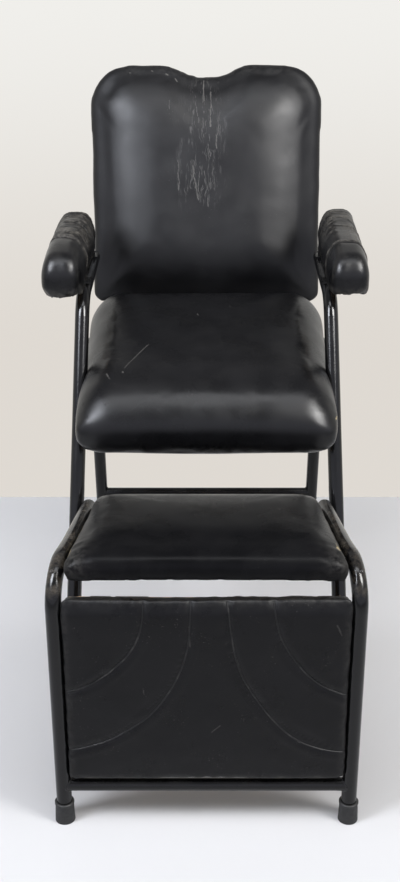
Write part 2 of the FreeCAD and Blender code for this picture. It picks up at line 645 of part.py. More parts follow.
def build_back(parts):
    """The back pad on its board, bolted to a bent tube that turns on the two pivot bolts."""
    place = back_place()
    pad = Pad(BACK_HALF_WIDTH, BACK_HALF_WIDTH, BACK_LENGTH, BACK_LOW_CORNER, BACK_TOP_CORNER,
              BACK_DRAW, BACK_THICKNESS, BACK_BASE_DEPTH, BACK_CROWN_DEPTH, True)
    cushion = soft_pad(pad, BACK_LEVEL_SHARES, 0)
    board = pad_board(pad, BACK_BOARD_INSET, 0, BOARD_THICKNESS)
    cover = pad_board(pad, BACK_BOARD_INSET, -REAR_COVER_THICKNESS, REAR_COVER_THICKNESS)
    cushion = cushion.cut(board)

    post_z = -REAR_COVER_THICKNESS - BACK_TUBE_RADIUS
    tail = -PIVOT_TO_PAD - POST_TAIL
    points = [at(POST_HALF_SPREAD, tail, post_z), at(POST_HALF_SPREAD, POST_TOP, post_z),
              at(-POST_HALF_SPREAD, POST_TOP, post_z), at(-POST_HALF_SPREAD, tail, post_z)]
    bar, hoop = tube(points, [POST_BEND_RADIUS, POST_BEND_RADIUS], BACK_TUBE_RADIUS)
    bar_y = POST_BAR_RISE - PIVOT_TO_PAD
    brace = cross_tube(bar_y, post_z, POST_HALF_SPREAD, BAR_RADIUS, [bar])
    plugs = [tube_plug(points[0], at(0, -1, 0), BACK_TUBE_RADIUS),
             tube_plug(points[-1], at(0, -1, 0), BACK_TUBE_RADIUS)]

    bolt_length = BACK_TUBE_DIAMETER + REAR_COVER_THICKNESS + SCREW_BITE
    runs = []
    for share in BACK_BOLT_SHARES:
        for x in (-POST_HALF_SPREAD, POST_HALF_SPREAD):
            runs.append((at(x, BACK_LENGTH * share, post_z - BACK_TUBE_RADIUS), at(0, 0, 1), bolt_length))
    bolts = [screw(*run, SCREW_DIAMETER / 2) for run in runs]
    hoop = drilled(hoop, runs, SCREW_PLAY)
    pivot_hole = rod(at(-plate_inner_x(), -PIVOT_TO_PAD, post_z), at(plate_inner_x(), -PIVOT_TO_PAD, post_z),
                     PIVOT_BOLT_DIAMETER / 2 + SCREW_PLAY)
    hoop = hoop.cut(pivot_hole)
    pieces = {"back_cushion": cushion, "back_board": board.cut(bolts), "back_rear_cover": cover.cut(bolts),
              "back_frame_hoop": hoop, "back_frame_brace": brace,
              "back_frame_plugs": Part.makeCompound(plugs), "back_bolts": Part.makeCompound(bolts)}
    for name, shape in pieces.items():
        shape.Placement = place
        parts[name] = shape


def build_recline(parts):
    """Slotted plates on the seat frame, pivot bolts, and the plates, studs and knobs of the backrest."""
    pivot = pivot_point()
    bar = at(0, REAR_SEAT_BAR_DEPTH, rail_height(REAR_SEAT_BAR_DEPTH))
    plate_x = plate_inner_x()
    last = -SLOT_START - RECLINE_RANGE
    stud_radius = STUD_DIAMETER / 2
    rim = stud_radius + SLOT_PLAY + SLOT_RIM
    plate = link(pivot, bar, PIVOT_LOBE_RADIUS, BAR_LOBE_RADIUS, WELD_PLATE, plate_x)
    plate = plate.fuse(arc_band(-SLOT_START, last, SLOT_RADIUS, rim, plate_x, WELD_PLATE))
    for angle in (-SLOT_START, last):
        arm = link(pivot, ring_point(angle, SLOT_RADIUS), PIVOT_LOBE_RADIUS, rim, WELD_PLATE, plate_x)
        plate = plate.fuse(arm)
    plate = plate.fuse(link(ring_point(last, SLOT_RADIUS), bar, rim, BAR_LOBE_RADIUS, WELD_PLATE, plate_x))
    plate = plate.removeSplitter()
    slot = arc_band(-SLOT_START, last, SLOT_RADIUS, stud_radius + SLOT_PLAY,
                    plate_x - OVERRUN, WELD_PLATE + 2 * OVERRUN)
    hole = rod(pivot + at(plate_x - OVERRUN, 0, 0), pivot + at(plate_x + WELD_PLATE + OVERRUN, 0, 0),
               PIVOT_BOLT_DIAMETER / 2 + SCREW_PLAY)
    seat = rod(bar + at(plate_x - OVERRUN, 0, 0), bar + at(plate_x + WELD_PLATE + OVERRUN, 0, 0), TUBE_RADIUS)
    plate = plate.cut([slot, hole, seat])

    post_outer = POST_HALF_SPREAD + BACK_TUBE_RADIUS
    up = back_place().Rotation.multVec(at(0, HINGE_PLATE_REACH, 0))
    stud_point = ring_point(-SLOT_START, SLOT_RADIUS)
    hinge_plate = link(pivot, pivot + up, HINGE_LOBE_RADIUS, HINGE_TOP_RADIUS, WELD_PLATE, post_outer)
    hinge_plate = hinge_plate.fuse(
        link(pivot, stud_point, HINGE_LOBE_RADIUS, BACK_TUBE_RADIUS, WELD_PLATE, post_outer))
    hinge_plate = hinge_plate.removeSplitter().cut(
        rod(pivot, pivot + at(2 * plate_x, 0, 0), PIVOT_BOLT_DIAMETER / 2 + SCREW_PLAY))

    plate_outer = plate_x + WELD_PLATE
    washer_low = plate_outer + SLOT_PLAY
    knob_low = washer_low + CLAMP_WASHER_THICKNESS + SLOT_PLAY
    stud_end = knob_low + KNOB_LENGTH - WELD_PLATE
    stud_start = post_outer + WELD_PLATE
    stud = rod(stud_point + at(stud_start, 0, 0), stud_point + at(stud_end, 0, 0), stud_radius)
    across = at(1, 0, 0)
    washer = Part.makeCylinder(CLAMP_WASHER_RADIUS, CLAMP_WASHER_THICKNESS,
                               stud_point + at(washer_low, 0, 0), across)
    washer = washer.cut(Part.makeCylinder(stud_radius + SLOT_PLAY, CLAMP_WASHER_THICKNESS,
                                          stud_point + at(washer_low, 0, 0), across))
    spacer = Part.makeCylinder(SPACER_RADIUS, SPACER_THICKNESS - 2 * SLOT_PLAY,
                               pivot + at(stud_start + SLOT_PLAY, 0, 0), across)
    bolt_radius = PIVOT_BOLT_DIAMETER / 2
    spacer_bore = Part.makeCylinder(bolt_radius, SPACER_THICKNESS, pivot + at(stud_start, 0, 0), across)
    spacer = spacer.cut(spacer_bore)
    bolt_low = POST_HALF_SPREAD - BACK_TUBE_RADIUS - SLOT_PLAY
    bolt_high = plate_outer + PIVOT_NUT_HEIGHT + PIVOT_BOLT_SPARE
    head_start = pivot + at(bolt_low - PIVOT_HEAD_HEIGHT, 0, 0)
    head = hexagon(head_start, across, PIVOT_HEAD_WIDTH, PIVOT_HEAD_HEIGHT)
    bolt = head.fuse(rod(pivot + at(bolt_low, 0, 0), pivot + at(bolt_high, 0, 0), bolt_radius))
    nut = hexagon(pivot + at(plate_outer, 0, 0), across, PIVOT_HEAD_WIDTH, PIVOT_NUT_HEIGHT)
    nut = nut.cut(rod(pivot + at(plate_outer, 0, 0), pivot + at(bolt_high, 0, 0), bolt_radius))

    knob = lobed_knob(stud_point + at(knob_low, 0, 0), stud_radius)
    for name, side in SIDES:
        flip = (lambda shape: shape) if side > 0 else mirrored
        parts[name + "_recline_plate"] = flip(plate)
        parts[name + "_hinge_plate"] = flip(hinge_plate)
        parts[name + "_clamp_knob"] = flip(knob)
    for name, shape in (("pivot_bolts", bolt), ("pivot_nuts", nut), ("pivot_spacers", spacer),
                        ("clamp_studs", stud), ("clamp_washers", washer)):
        parts[name] = Part.makeCompound([mirrored(shape), shape])


def lobed_knob(start, stud_radius):
    """A hand knob with finger lobes and a blind hole for its stud."""
    hub = KNOB_LENGTH * 0.3
    profile = [(0, 0), (KNOB_HUB_RADIUS, 0), (KNOB_HUB_RADIUS, hub), (KNOB_RADIUS * 0.94, hub)]
    profile += [(KNOB_RADIUS, hub * 1.3), (KNOB_RADIUS, KNOB_LENGTH * 0.85), (KNOB_RADIUS * 0.9, KNOB_LENGTH)]
    profile += [(0, KNOB_LENGTH)]
    knob = lathe(profile, start, at(1, 0, 0))
    for k in range(KNOB_LOBES):
        turn = 2 * math.pi * k / KNOB_LOBES
        reach = KNOB_RADIUS + KNOB_SCALLOP_RADIUS * 0.55
        middle = start + at(0, reach * math.cos(turn), reach * math.sin(turn))
        knob = knob.cut(rod(middle + at(hub, 0, 0), middle + at(KNOB_LENGTH + OVERRUN, 0, 0),
                            KNOB_SCALLOP_RADIUS))
    depth = KNOB_LENGTH - WELD_PLATE + SLOT_PLAY
    return knob.cut(rod(start, start + at(depth, 0, 0), stud_radius + SLOT_PLAY))


def leg_place():
    """The frame of the leg rest's pad: its front edge at the level of the strap tops."""
    depth = LEG_PAD_FRONT_DEPTH
    drop = (TUBE_RADIUS - WELD_BITE) / math.cos(math.radians(LEG_REST_SLOPE))
    return tilted(depth, leg_rail_height(depth) - drop, -LEG_REST_SLOPE)


def hinge_point():
    """The leg rest's hinge, where the plane of the hook tabs meets the line of the front legs."""
    place = leg_place()
    foot_point = place.inverse().multVec(front_leg_point(0, 1))
    arm_point = place.inverse().multVec(front_leg_point(ARM_TUBE_HEIGHT, 1))
    level = -WELD_PLATE - HOOK_TAB / 2
    share = (level - foot_point.z) / (arm_point.z - foot_point.z)
    return front_leg_point(ARM_TUBE_HEIGHT * share, 1)


def build_leg_rest(parts):
    """Two bent tubes, straps and a lower bar, with the pad on top and hooks over the hinge bar."""
    bars = []
    plugs = []
    for name, side in SIDES:
        floor_point = at(side * LEG_REST_HALF_SPREAD, 0, 0)
        corner = at(side * LEG_REST_HALF_SPREAD, 0, LEG_REST_RAIL_HEIGHT)
        narrow = at(side * LEG_REST_NARROW_HALF_SPREAD, LEG_REST_NARROW_DEPTH,
                    leg_rail_height(LEG_REST_NARROW_DEPTH))
        end = at(side * LEG_REST_END_HALF_SPREAD, LEG_REST_END_DEPTH, leg_rail_height(LEG_REST_END_DEPTH))
        points = [at(floor_point.x, 0, FOOT_FLOOR + FIT_PLAY), corner, narrow, end]
        bar, shape = tube(points, [LEG_REST_BEND_RADIUS, LEG_REST_NARROW_RADIUS], TUBE_RADIUS)
        bars.append(bar)
        parts[name + "_leg_rest_tube"] = shape
        parts[name + "_leg_rest_foot"] = foot(floor_point, at(0, 0, 1), FOOT_FLOOR + FIT_PLAY)
        plugs.append(tube_plug(end, end - narrow, TUBE_RADIUS))
    parts["leg_rest_plugs"] = Part.makeCompound(plugs)
    parts["leg_rest_lower_bar"] = cross_tube(
        0, LOWER_BAR_HEIGHT, LEG_REST_HALF_SPREAD, LOWER_BAR_DIAMETER / 2, bars)

    place = leg_place()
    pad = Pad(LEG_PAD_FRONT_HALF_WIDTH, LEG_PAD_REAR_HALF_WIDTH, LEG_PAD_LENGTH, LEG_PAD_FRONT_CORNER,
              LEG_PAD_REAR_CORNER, LEG_PAD_DRAW, LEG_PAD_THICKNESS, LEG_PAD_BASE_DEPTH,
              LEG_PAD_CROWN_DEPTH, False)
    cushion = soft_pad(pad, EDGE_LEVEL_SHARES, 0)
    board = pad_board(pad, LEG_BOARD_INSET, 0, BOARD_THICKNESS)
    cushion = cushion.cut(board)
    cushion.Placement = place
    board.Placement = place

    straps = []
    runs = []
    up = place.Rotation.multVec(at(0, 0, 1))
    for share in LEG_STRAP_SHARES:
        middle = LEG_PAD_LENGTH * share
        reach = leg_rail_half_spread(place.multVec(at(0, middle, 0)).y)
        strap = block(0, 2 * reach, middle - STRAP_WIDTH / 2, STRAP_WIDTH, -WELD_PLATE, WELD_PLATE)
        strap.Placement = place
        straps.append(strap.cut(Part.makeCompound(bars)))
        under = -WELD_PLATE - (HOOK_TAB if share == LEG_STRAP_SHARES[-1] else 0)
        for x in (-HOOK_HALF_SPREAD, HOOK_HALF_SPREAD):
            runs.append((place.multVec(at(x, middle, under)), up, SCREW_BITE - under))
    screws = [screw(*run, SCREW_DIAMETER / 2) for run in runs]

    hinge = hinge_point()
    local_hinge = place.inverse().multVec(at(0, hinge.y, hinge.z))
    bore = BAR_RADIUS + HOOK_PLAY
    tab_start = LEG_PAD_LENGTH * LEG_STRAP_SHARES[-1] - STRAP_WIDTH / 2
    hooks = []
    for x in (-HOOK_HALF_SPREAD, HOOK_HALF_SPREAD):
        middle = at(x - HOOK_WIDTH / 2, local_hinge.y, local_hinge.z)
        eye = Part.makeCylinder(bore + HOOK_WALL, HOOK_WIDTH, middle, at(1, 0, 0))
        tab = block(x, HOOK_WIDTH, tab_start, local_hinge.y - tab_start, -WELD_PLATE - HOOK_TAB, HOOK_TAB)
        mouth = block(x, 2 * HOOK_WIDTH, local_hinge.y - bore, 2 * bore,
                      local_hinge.z - 2 * bore - HOOK_WALL, 2 * bore + HOOK_WALL)
        hook = eye.fuse(tab).cut([Part.makeCylinder(bore, HOOK_WIDTH, middle, at(1, 0, 0)), mouth])
        hook.Placement = place
        hooks.append(hook)
    parts["left_hinge_hook"] = drilled(hooks[0], runs, SCREW_PLAY)
    parts["right_hinge_hook"] = drilled(hooks[1], runs, SCREW_PLAY)
    parts["leg_rest_straps"] = Part.makeCompound([drilled(strap, runs, SCREW_PLAY) for strap in straps])
    parts["leg_rest_board"] = board.cut(screws)
    parts["leg_rest_pad"] = cushion
    parts["leg_rest_screws"] = Part.makeCompound(screws)
    return bars


def seam_groove(shares, length):
    """A groove round a curved seam on the right of the front panel, in the panel's own frame."""
    points = [at(x * PANEL_HALF_WIDTH, y * length, PANEL_PAD_THICKNESS) for x, y in shares]
    arc = Part.Arc(*points)
    heading = arc.tangent(arc.FirstParameter)[0]
    circle = Part.Wire([Part.Circle(points[0], heading, SEAM_RADIUS).toShape()])
    return Part.Wire([arc.toShape()]).makePipeShell([circle], True, False)


def build_front_panel(parts, bars):
    """The upright padded panel between the leg rest's legs, screwed to tabs welded behind them."""
    place = tilted(TUBE_RADIUS - WELD_BITE - PANEL_BOARD_THICKNESS, PANEL_BOTTOM, 90)
    length = leg_place().Base.z - PANEL_TOP_GAP - PANEL_BOTTOM
    pad = Pad(PANEL_HALF_WIDTH, PANEL_HALF_WIDTH, length, PANEL_CORNER, PANEL_CORNER, PANEL_DRAW,
              PANEL_PAD_THICKNESS, PANEL_BASE_DEPTH, PANEL_CROWN_DEPTH, False)
    face = soft_pad(pad, EDGE_LEVEL_SHARES, 0)
    for shares in (INNER_SEAM_SHARES, OUTER_SEAM_SHARES):
        groove = seam_groove(shares, length)
        face = face.cut(groove).cut(mirrored(groove))
    board = pad_board(pad, PANEL_BOARD_INSET, -PANEL_BOARD_THICKNESS, PANEL_BOARD_THICKNESS)
    tabs = []
    runs = []
    tab_low = -PANEL_BOARD_THICKNESS - HOOK_TAB
    for share in PANEL_TAB_SHARES:
        middle = length * share
        for side in (-1, 1):
            inner = LEG_REST_HALF_SPREAD - TUBE_RADIUS - PANEL_TAB_REACH
            outer = LEG_REST_HALF_SPREAD
            tabs.append(block(side * (inner + outer) / 2, outer - inner, middle - PANEL_TAB_WIDTH / 2,
                              PANEL_TAB_WIDTH, tab_low, HOOK_TAB))
            runs.append((at(side * (inner + PANEL_TAB_WIDTH / 2), middle, tab_low), at(0, 0, 1),
                         HOOK_TAB + SCREW_BITE - SCREW_PLAY))
    tabs = [drilled(tab, runs, SCREW_PLAY) for tab in tabs]
    screws = [screw(*run, SCREW_DIAMETER / 2) for run in runs]
    pieces = {"front_panel_pad": face, "front_panel_board": board.cut(screws),
              "front_panel_tabs": Part.makeCompound(tabs), "front_panel_screws": Part.makeCompound(screws)}
    for name, shape in pieces.items():
        shape.Placement = place
        parts[name] = shape
    parts["front_panel_tabs"] = parts["front_panel_tabs"].cut(Part.makeCompound(bars))


def build():
    """Every piece of the chair by name."""
    parts = {}
    legs, rails = build_frame(parts)
    build_seat(parts, legs, rails)
    build_arms(parts)
    build_back(parts)
    build_recline(parts)
    bars = build_leg_rest(parts)
    build_front_panel(parts, bars)
    return parts


def main():
    """Set the chair over its origin and write one file for each piece."""
    parts = build()
    box = Part.makeCompound(list(parts.values())).optimalBoundingBox()
    shift = at(-(box.XMin + box.XMax) / 2, -(box.YMin + box.YMax) / 2, -box.ZMin)
    os.makedirs("parts", exist_ok=True)
    for name, shape in parts.items():
        moved = shape.copy()
        moved.translate(shift)
        if not moved.isValid():
            print("not valid:", name)
        moved.exportStep(os.path.join("parts", name + ".step"))
    print("pieces", len(parts), "box", [round(v, 2) for v in (box.XLength, box.YLength, box.ZLength)])
    hinge = hinge_point() + shift
    stud = ring_point(-SLOT_START, SLOT_RADIUS) + shift
    print("shift", shift)
    pivot = pivot_point() + shift
    print("recline pivot", pivot.y, pivot.z)
    print("leg rest pivot", hinge.y, hinge.z)
    print("stud", stud.y, stud.z)


main()
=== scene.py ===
"""A black padded chair with a leg rest, dressed over its fixed frame.

Sizes in the classes are millimetres in the maker's own frame, with depth from the front of the
leg rest and height from the floor. Meshes are written in metres in the shared frame.
"""
import itertools
import logging
import math
from dataclasses import dataclass, field, replace
from enum import Enum

import bmesh
import bpy
import numpy as np
from mathutils import Matrix, Vector
from mathutils.bvhtree import BVHTree


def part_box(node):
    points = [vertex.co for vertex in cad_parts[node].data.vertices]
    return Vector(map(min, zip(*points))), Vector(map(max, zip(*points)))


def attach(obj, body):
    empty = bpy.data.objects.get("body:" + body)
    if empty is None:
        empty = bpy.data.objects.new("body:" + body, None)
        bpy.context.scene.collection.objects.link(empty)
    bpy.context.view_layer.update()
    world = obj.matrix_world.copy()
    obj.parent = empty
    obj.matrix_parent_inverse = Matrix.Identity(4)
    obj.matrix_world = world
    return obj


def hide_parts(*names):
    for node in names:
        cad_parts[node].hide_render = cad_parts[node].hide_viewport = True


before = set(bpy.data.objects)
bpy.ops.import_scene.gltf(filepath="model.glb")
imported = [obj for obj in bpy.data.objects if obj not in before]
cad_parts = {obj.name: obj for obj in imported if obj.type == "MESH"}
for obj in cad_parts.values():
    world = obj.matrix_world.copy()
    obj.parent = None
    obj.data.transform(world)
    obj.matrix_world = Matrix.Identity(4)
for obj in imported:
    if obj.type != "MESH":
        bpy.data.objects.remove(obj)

log = logging.getLogger("chair")

DEPTH_SHIFT = 463.98932      # from the maker's depth to the shared frame's Y, in millimetres
MM = 0.001
MERGE = 2e-5                 # points closer than this are one, in metres
FAR = 1e9
TINY = 1e-6
NOTHING = 1e-12
NEAR = 0.05                  # points this near a level lie on it, in millimetres
BOARD_GAP = 0.3              # the room left round a board, in millimetres
NOISE_OFFSET = 500.0
NOISE_PRIMES = (73856093, 19349663, 83492791)
SEED_PRIME = 40503
MIX_PRIME = 1274126177
Colour = tuple[float, float, float]
Feed = bpy.types.NodeSocket | float | tuple
Line = tuple[tuple[float, float], ...]
Relief = tuple[np.ndarray, np.ndarray, np.ndarray]


class Slot(Enum):
    """The record's material slots."""

    VINYL = "vinyl"
    PAINT = "tube_paint"
    ZINC = "zinc"


class Body(Enum):
    """The moving bodies that dressed pieces ride on."""

    CHAIR = "chair_frame"
    BACK = "backrest"
    LEG_REST = "leg_rest"


# ---------------------------------------------------------------- shader graphs


class Graph:
    """Adds shader nodes to a tree and joins them."""

    def __init__(self, tree: bpy.types.NodeTree) -> None:
        """Keep the tree that nodes go in.

        Args:
            tree: the tree of a material, a world or a group.
        """
        self.tree = tree

    def add(self, kind: str, feeds: dict | None = None, **settings: object) -> bpy.types.Node:
        """Add a node.

        Args:
            kind: the node's type name.
            feeds: values or sockets for its inputs, by name or number.
            settings: the node's own fields.

        Returns:
            The new node.
        """
        node = self.tree.nodes.new(kind)
        for name, value in settings.items():
            setattr(node, name, value)
        for key, value in (feeds or {}).items():
            self.feed(node.inputs[key], value)
        return node

    def feed(self, socket: bpy.types.NodeSocket, value: Feed) -> None:
        """Join a socket to an input, or set the input's own value."""
        if isinstance(value, bpy.types.NodeSocket):
            self.tree.links.new(value, socket)
        else:
            socket.default_value = value

    def math(self, operation: str, *values: Feed) -> bpy.types.NodeSocket:
        """Work out one number from up to three."""
        node = self.add("ShaderNodeMath", dict(enumerate(values)), operation=operation)
        return node.outputs[0]

    def times(self, first: Feed, second: Feed) -> bpy.types.NodeSocket:
        """One number times another."""
        return self.math("MULTIPLY", first, second)

    def plus(self, first: Feed, second: Feed) -> bpy.types.NodeSocket:
        """The sum of two numbers."""
        return self.math("ADD", first, second)

    def less(self, first: Feed, second: Feed) -> bpy.types.NodeSocket:
        """One number less another."""
        return self.math("SUBTRACT", first, second)

    def most(self, first: Feed, second: Feed) -> bpy.types.NodeSocket:
        """The larger of two numbers."""
        return self.math("MAXIMUM", first, second)

    def vector(self, operation: str, *values: Feed) -> bpy.types.NodeSocket:
        """Work out a vector, or a number where the operation gives one."""
        node = self.add("ShaderNodeVectorMath", {}, operation=operation)
        sockets = [node.inputs[0], node.inputs[1]]
        if operation == "SCALE":
            sockets[1] = node.inputs["Scale"]
        for socket, value in zip(sockets, values):
            self.feed(socket, value)
        return node.outputs["Value" if operation in ("DOT_PRODUCT", "LENGTH") else "Vector"]

    def noise(self, vector: Feed, size: Feed, detail: float = 2.0,
              rough: float = 0.5) -> bpy.types.NodeSocket:
        """Cloudy noise from 0 to 1.

        Args:
            vector: where, in millimetres.
            size: the size of a cloud in millimetres.
            detail: the number of finer layers.
            rough: how strong the finer layers are.

        Returns:
            The noise as a number.
        """
        fed = isinstance(size, bpy.types.NodeSocket)
        scale = self.math("DIVIDE", 1.0, size) if fed else 1.0 / size
        feeds = {"Vector": vector, "Scale": scale, "Detail": detail, "Roughness": rough}
        return self.add("ShaderNodeTexNoise", feeds).outputs[0]

    def cloud(self, vector: Feed, scale: float, detail: float) -> bpy.types.NodeSocket:
        """Cloudy noise as a colour, to bend a pattern with."""
        feeds = {"Vector": vector, "Scale": scale, "Detail": detail}
        return self.add("ShaderNodeTexNoise", feeds).outputs[1]

    def edges(self, vector: Feed, size: Feed) -> bpy.types.NodeSocket:
        """How far a point lies from the edges of a net of cells of a size in millimetres."""
        feeds = {"Vector": vector, "Scale": self.math("DIVIDE", 1.0, size)}
        cells = self.add("ShaderNodeTexVoronoi", feeds, feature="DISTANCE_TO_EDGE")
        return cells.outputs["Distance"]

    def attribute(self, name: str) -> bpy.types.NodeSocket:
        """A number kept at the mesh's points."""
        return self.add("ShaderNodeAttribute", attribute_name=name).outputs["Fac"]

    def part(self, vector: Feed, axis: int) -> bpy.types.NodeSocket:
        """One of a vector's three numbers."""
        return self.add("ShaderNodeSeparateXYZ", {0: vector}).outputs[axis]

    def stretched(self, vector: Feed, scale: tuple) -> bpy.types.NodeSocket:
        """A vector scaled along each axis, to draw a pattern out."""
        return self.add("ShaderNodeMapping", {"Vector": vector, "Scale": scale}).outputs[0]

    def ramp(self, value: Feed, low: Feed, high: Feed, to_low: Feed = 0.0,
             to_high: Feed = 1.0) -> bpy.types.NodeSocket:
        """Ease a value from one range to another, held at its ends."""
        feeds = {"Value": value, "From Min": low, "From Max": high,
                 "To Min": to_low, "To Max": to_high}
        return self.add("ShaderNodeMapRange", feeds, interpolation_type="SMOOTHSTEP").outputs[0]

    def mix(self, share: Feed, first: Feed, second: Feed) -> bpy.types.NodeSocket:
        """Mix two colours."""
        node = self.add("ShaderNodeMix", {0: share}, data_type="RGBA")
        for key, value in ((6, first), (7, second)):
            self.feed(node.inputs[key], value + (1.0,) if isinstance(value, tuple) else value)
        return node.outputs[2]

    def blend(self, share: Feed, first: Feed, second: Feed) -> bpy.types.NodeSocket:
        """Mix two numbers."""
        feeds = {0: share, 2: first, 3: second}
        return self.add("ShaderNodeMix", feeds, data_type="FLOAT").outputs[0]

    def place(self, group: bpy.types.NodeTree, **feeds: Feed) -> bpy.types.Node:
        """Place a shared effect in this tree.

        Args:
            group: the effect's tree.
            feeds: values or sockets for its inputs, by name.

        Returns:
            The group node.
        """
        node = self.add("ShaderNodeGroup", node_tree=group)
        for key, value in feeds.items():
            self.feed(node.inputs[key.replace("_", " ")], value)
        return node


class Effects:
    """Shader node groups that several finishes share, each built once."""

    def __init__(self) -> None:
        """Build every effect."""
        self.grain = self._group("Leather grain", {"Vector": "V", "Cell": 1.1},
                                 ("Height", "Pores"), self._grain)
        self.patches = self._group("Worn patches", {"Vector": "V", "Size": 40.0, "Amount": 0.3,
                                                    "Softness": 0.1}, ("Mask",), self._patches)
        self.dust = self._group("Dust", {"Vector": "V", "Amount": 0.5}, ("Mask",), self._dust)
        self.stroke = self._group("Stroke", {"Vector": "V", "From": "V", "To": "V", "Width": 2.0,
                                             "Wobble": 4.0}, ("Mask",), self._stroke)
        self.hair = self._group("Hair cracks", {"Vector": "V", "Width": 3.0, "Length": 42.0,
                                                "Amount": 0.3}, ("Mask",), self._hair)
        self.crackle = self._group("Crackle", {"Vector": "V", "Cell": 9.0, "Width": 0.08},
                                   ("Mask",), self._crackle)

    def _group(self, name: str, inputs: dict, outputs: tuple, build) -> bpy.types.NodeTree:
        """Make one group tree.

        Args:
            name: the group's name.
            inputs: its inputs, V for a vector or a number's default.
            outputs: the names of its number outputs.
            build: the method that fills it and returns a socket for each output.

        Returns:
            The group's tree.
        """
        tree = bpy.data.node_groups.new(name, "ShaderNodeTree")
        for label, default in inputs.items():
            kind = "NodeSocketVector" if default == "V" else "NodeSocketFloat"
            socket = tree.interface.new_socket(label, in_out="INPUT", socket_type=kind)
            if default != "V":
                socket.default_value = default
        for label in outputs:
            tree.interface.new_socket(label, in_out="OUTPUT", socket_type="NodeSocketFloat")
        graph = Graph(tree)
        source = graph.add("NodeGroupInput").outputs
        sink = graph.add("NodeGroupOutput")
        for socket, result in zip(sink.inputs, build(graph, source)):
            tree.links.new(result, socket)
        return tree

    @staticmethod
    def _grain(graph: Graph, source) -> tuple:
        """Small rounded cells with creases between them, and a wider unevenness."""
        bent = graph.cloud(source["Vector"], 0.16, 2.0)
        moved = graph.vector("ADD", source["Vector"], graph.vector("SCALE", bent, 2.4))
        edges = graph.edges(moved, source["Cell"])
        pores = graph.ramp(edges, 0.0, 0.16, 1.0, 0.0)
        wide = graph.noise(source["Vector"], 6.0, 3.0, 0.55)
        round_cells = graph.ramp(edges, 0.0, 0.34)
        height = graph.plus(graph.times(round_cells, 0.6), graph.times(wide, 0.5))
        return height, pores

    @staticmethod
    def _patches(graph: Graph, source) -> tuple:
        """Irregular patches where a surface has rubbed away."""
        cloud = graph.noise(source["Vector"], source["Size"], 6.0, 0.62)
        low = graph.less(1.0, source["Amount"])
        return (graph.ramp(cloud, low, graph.plus(low, source["Softness"])),)

    @staticmethod
    def _dust(graph: Graph, source) -> tuple:
        """Dust that lies on upward faces, in drifts and specks."""
        normal = graph.add("ShaderNodeTexCoord").outputs["Normal"]
        facing = graph.ramp(graph.part(normal, 2), 0.15, 0.95)
        drift = graph.noise(source["Vector"], 38.0, 5.0, 0.6)
        specks = graph.ramp(graph.noise(source["Vector"], 1.7, 1.0), 0.62, 0.74)
        share = graph.plus(graph.ramp(drift, 0.35, 0.75), graph.times(specks, 0.8))
        return (graph.times(graph.times(facing, share), source["Amount"]),)

    @staticmethod
    def _stroke(graph: Graph, source) -> tuple:
        """A mark along a line between two points, uneven in width."""
        flat = graph.vector("MULTIPLY", source["Vector"], (1.0, 1.0, 0.0))
        bent = graph.cloud(flat, 0.07, 3.0)
        swing = graph.vector("SUBTRACT", bent, (0.5, 0.5, 0.5))
        flat = graph.vector("ADD", flat, graph.vector("SCALE", swing, source["Wobble"]))
        flat = graph.vector("MULTIPLY", flat, (1.0, 1.0, 0.0))
        away = graph.vector("SUBTRACT", flat, source["From"])
        run = graph.vector("SUBTRACT", source["To"], source["From"])
        share = graph.math("DIVIDE", graph.vector("DOT_PRODUCT", away, run),
                           graph.vector("DOT_PRODUCT", run, run))
        held = graph.add("ShaderNodeClamp", {0: share}).outputs[0]
        along = graph.vector("SCALE", run, held)
        far = graph.vector("LENGTH", graph.vector("SUBTRACT", away, along))
        broken = graph.ramp(graph.noise(flat, 5.0, 3.0), 0.3, 0.6, 0.35, 1.0)
        reach = graph.times(source["Width"], broken)
        mask = graph.ramp(far, graph.times(reach, 0.35), reach, 1.0, 0.0)
        return (mask,)

    @staticmethod
    def _hair(graph: Graph, source) -> tuple:
        """Fine cracks that run along Y, each broken along its length."""
        sway = graph.noise(source["Vector"], 24.0, 3.0)
        across = graph.plus(graph.part(source["Vector"], 0), graph.times(sway, 16.0))
        across = graph.math("DIVIDE", across, source["Width"])
        along = graph.math("DIVIDE", graph.part(source["Vector"], 1), source["Length"])
        spot = graph.add("ShaderNodeCombineXYZ", {0: across, 1: along}).outputs[0]
        ridge = graph.math("ABSOLUTE", graph.less(graph.noise(spot, 1.0, 3.0, 0.6), 0.5))
        line = graph.ramp(ridge, 0.0, 0.028, 1.0, 0.0)
        long = graph.vector("MULTIPLY", source["Vector"], (1.0, 0.3, 1.0))
        gaps = graph.noise(long, 9.0, 2.0, 0.5)
        low = graph.less(0.72, source["Amount"])
        return (graph.times(line, graph.ramp(gaps, low, graph.plus(low, 0.09))),)

    @staticmethod
    def _crackle(graph: Graph, source) -> tuple:
        """A net of fine cracks."""
        bent = graph.cloud(source["Vector"], 0.12, 3.0)
        moved = graph.vector("ADD", source["Vector"], graph.vector("SCALE", bent, 7.0))
        edges = graph.edges(moved, source["Cell"])
        return (graph.ramp(edges, 0.0, source["Width"], 1.0, 0.0),)


# ---------------------------------------------------------------- places


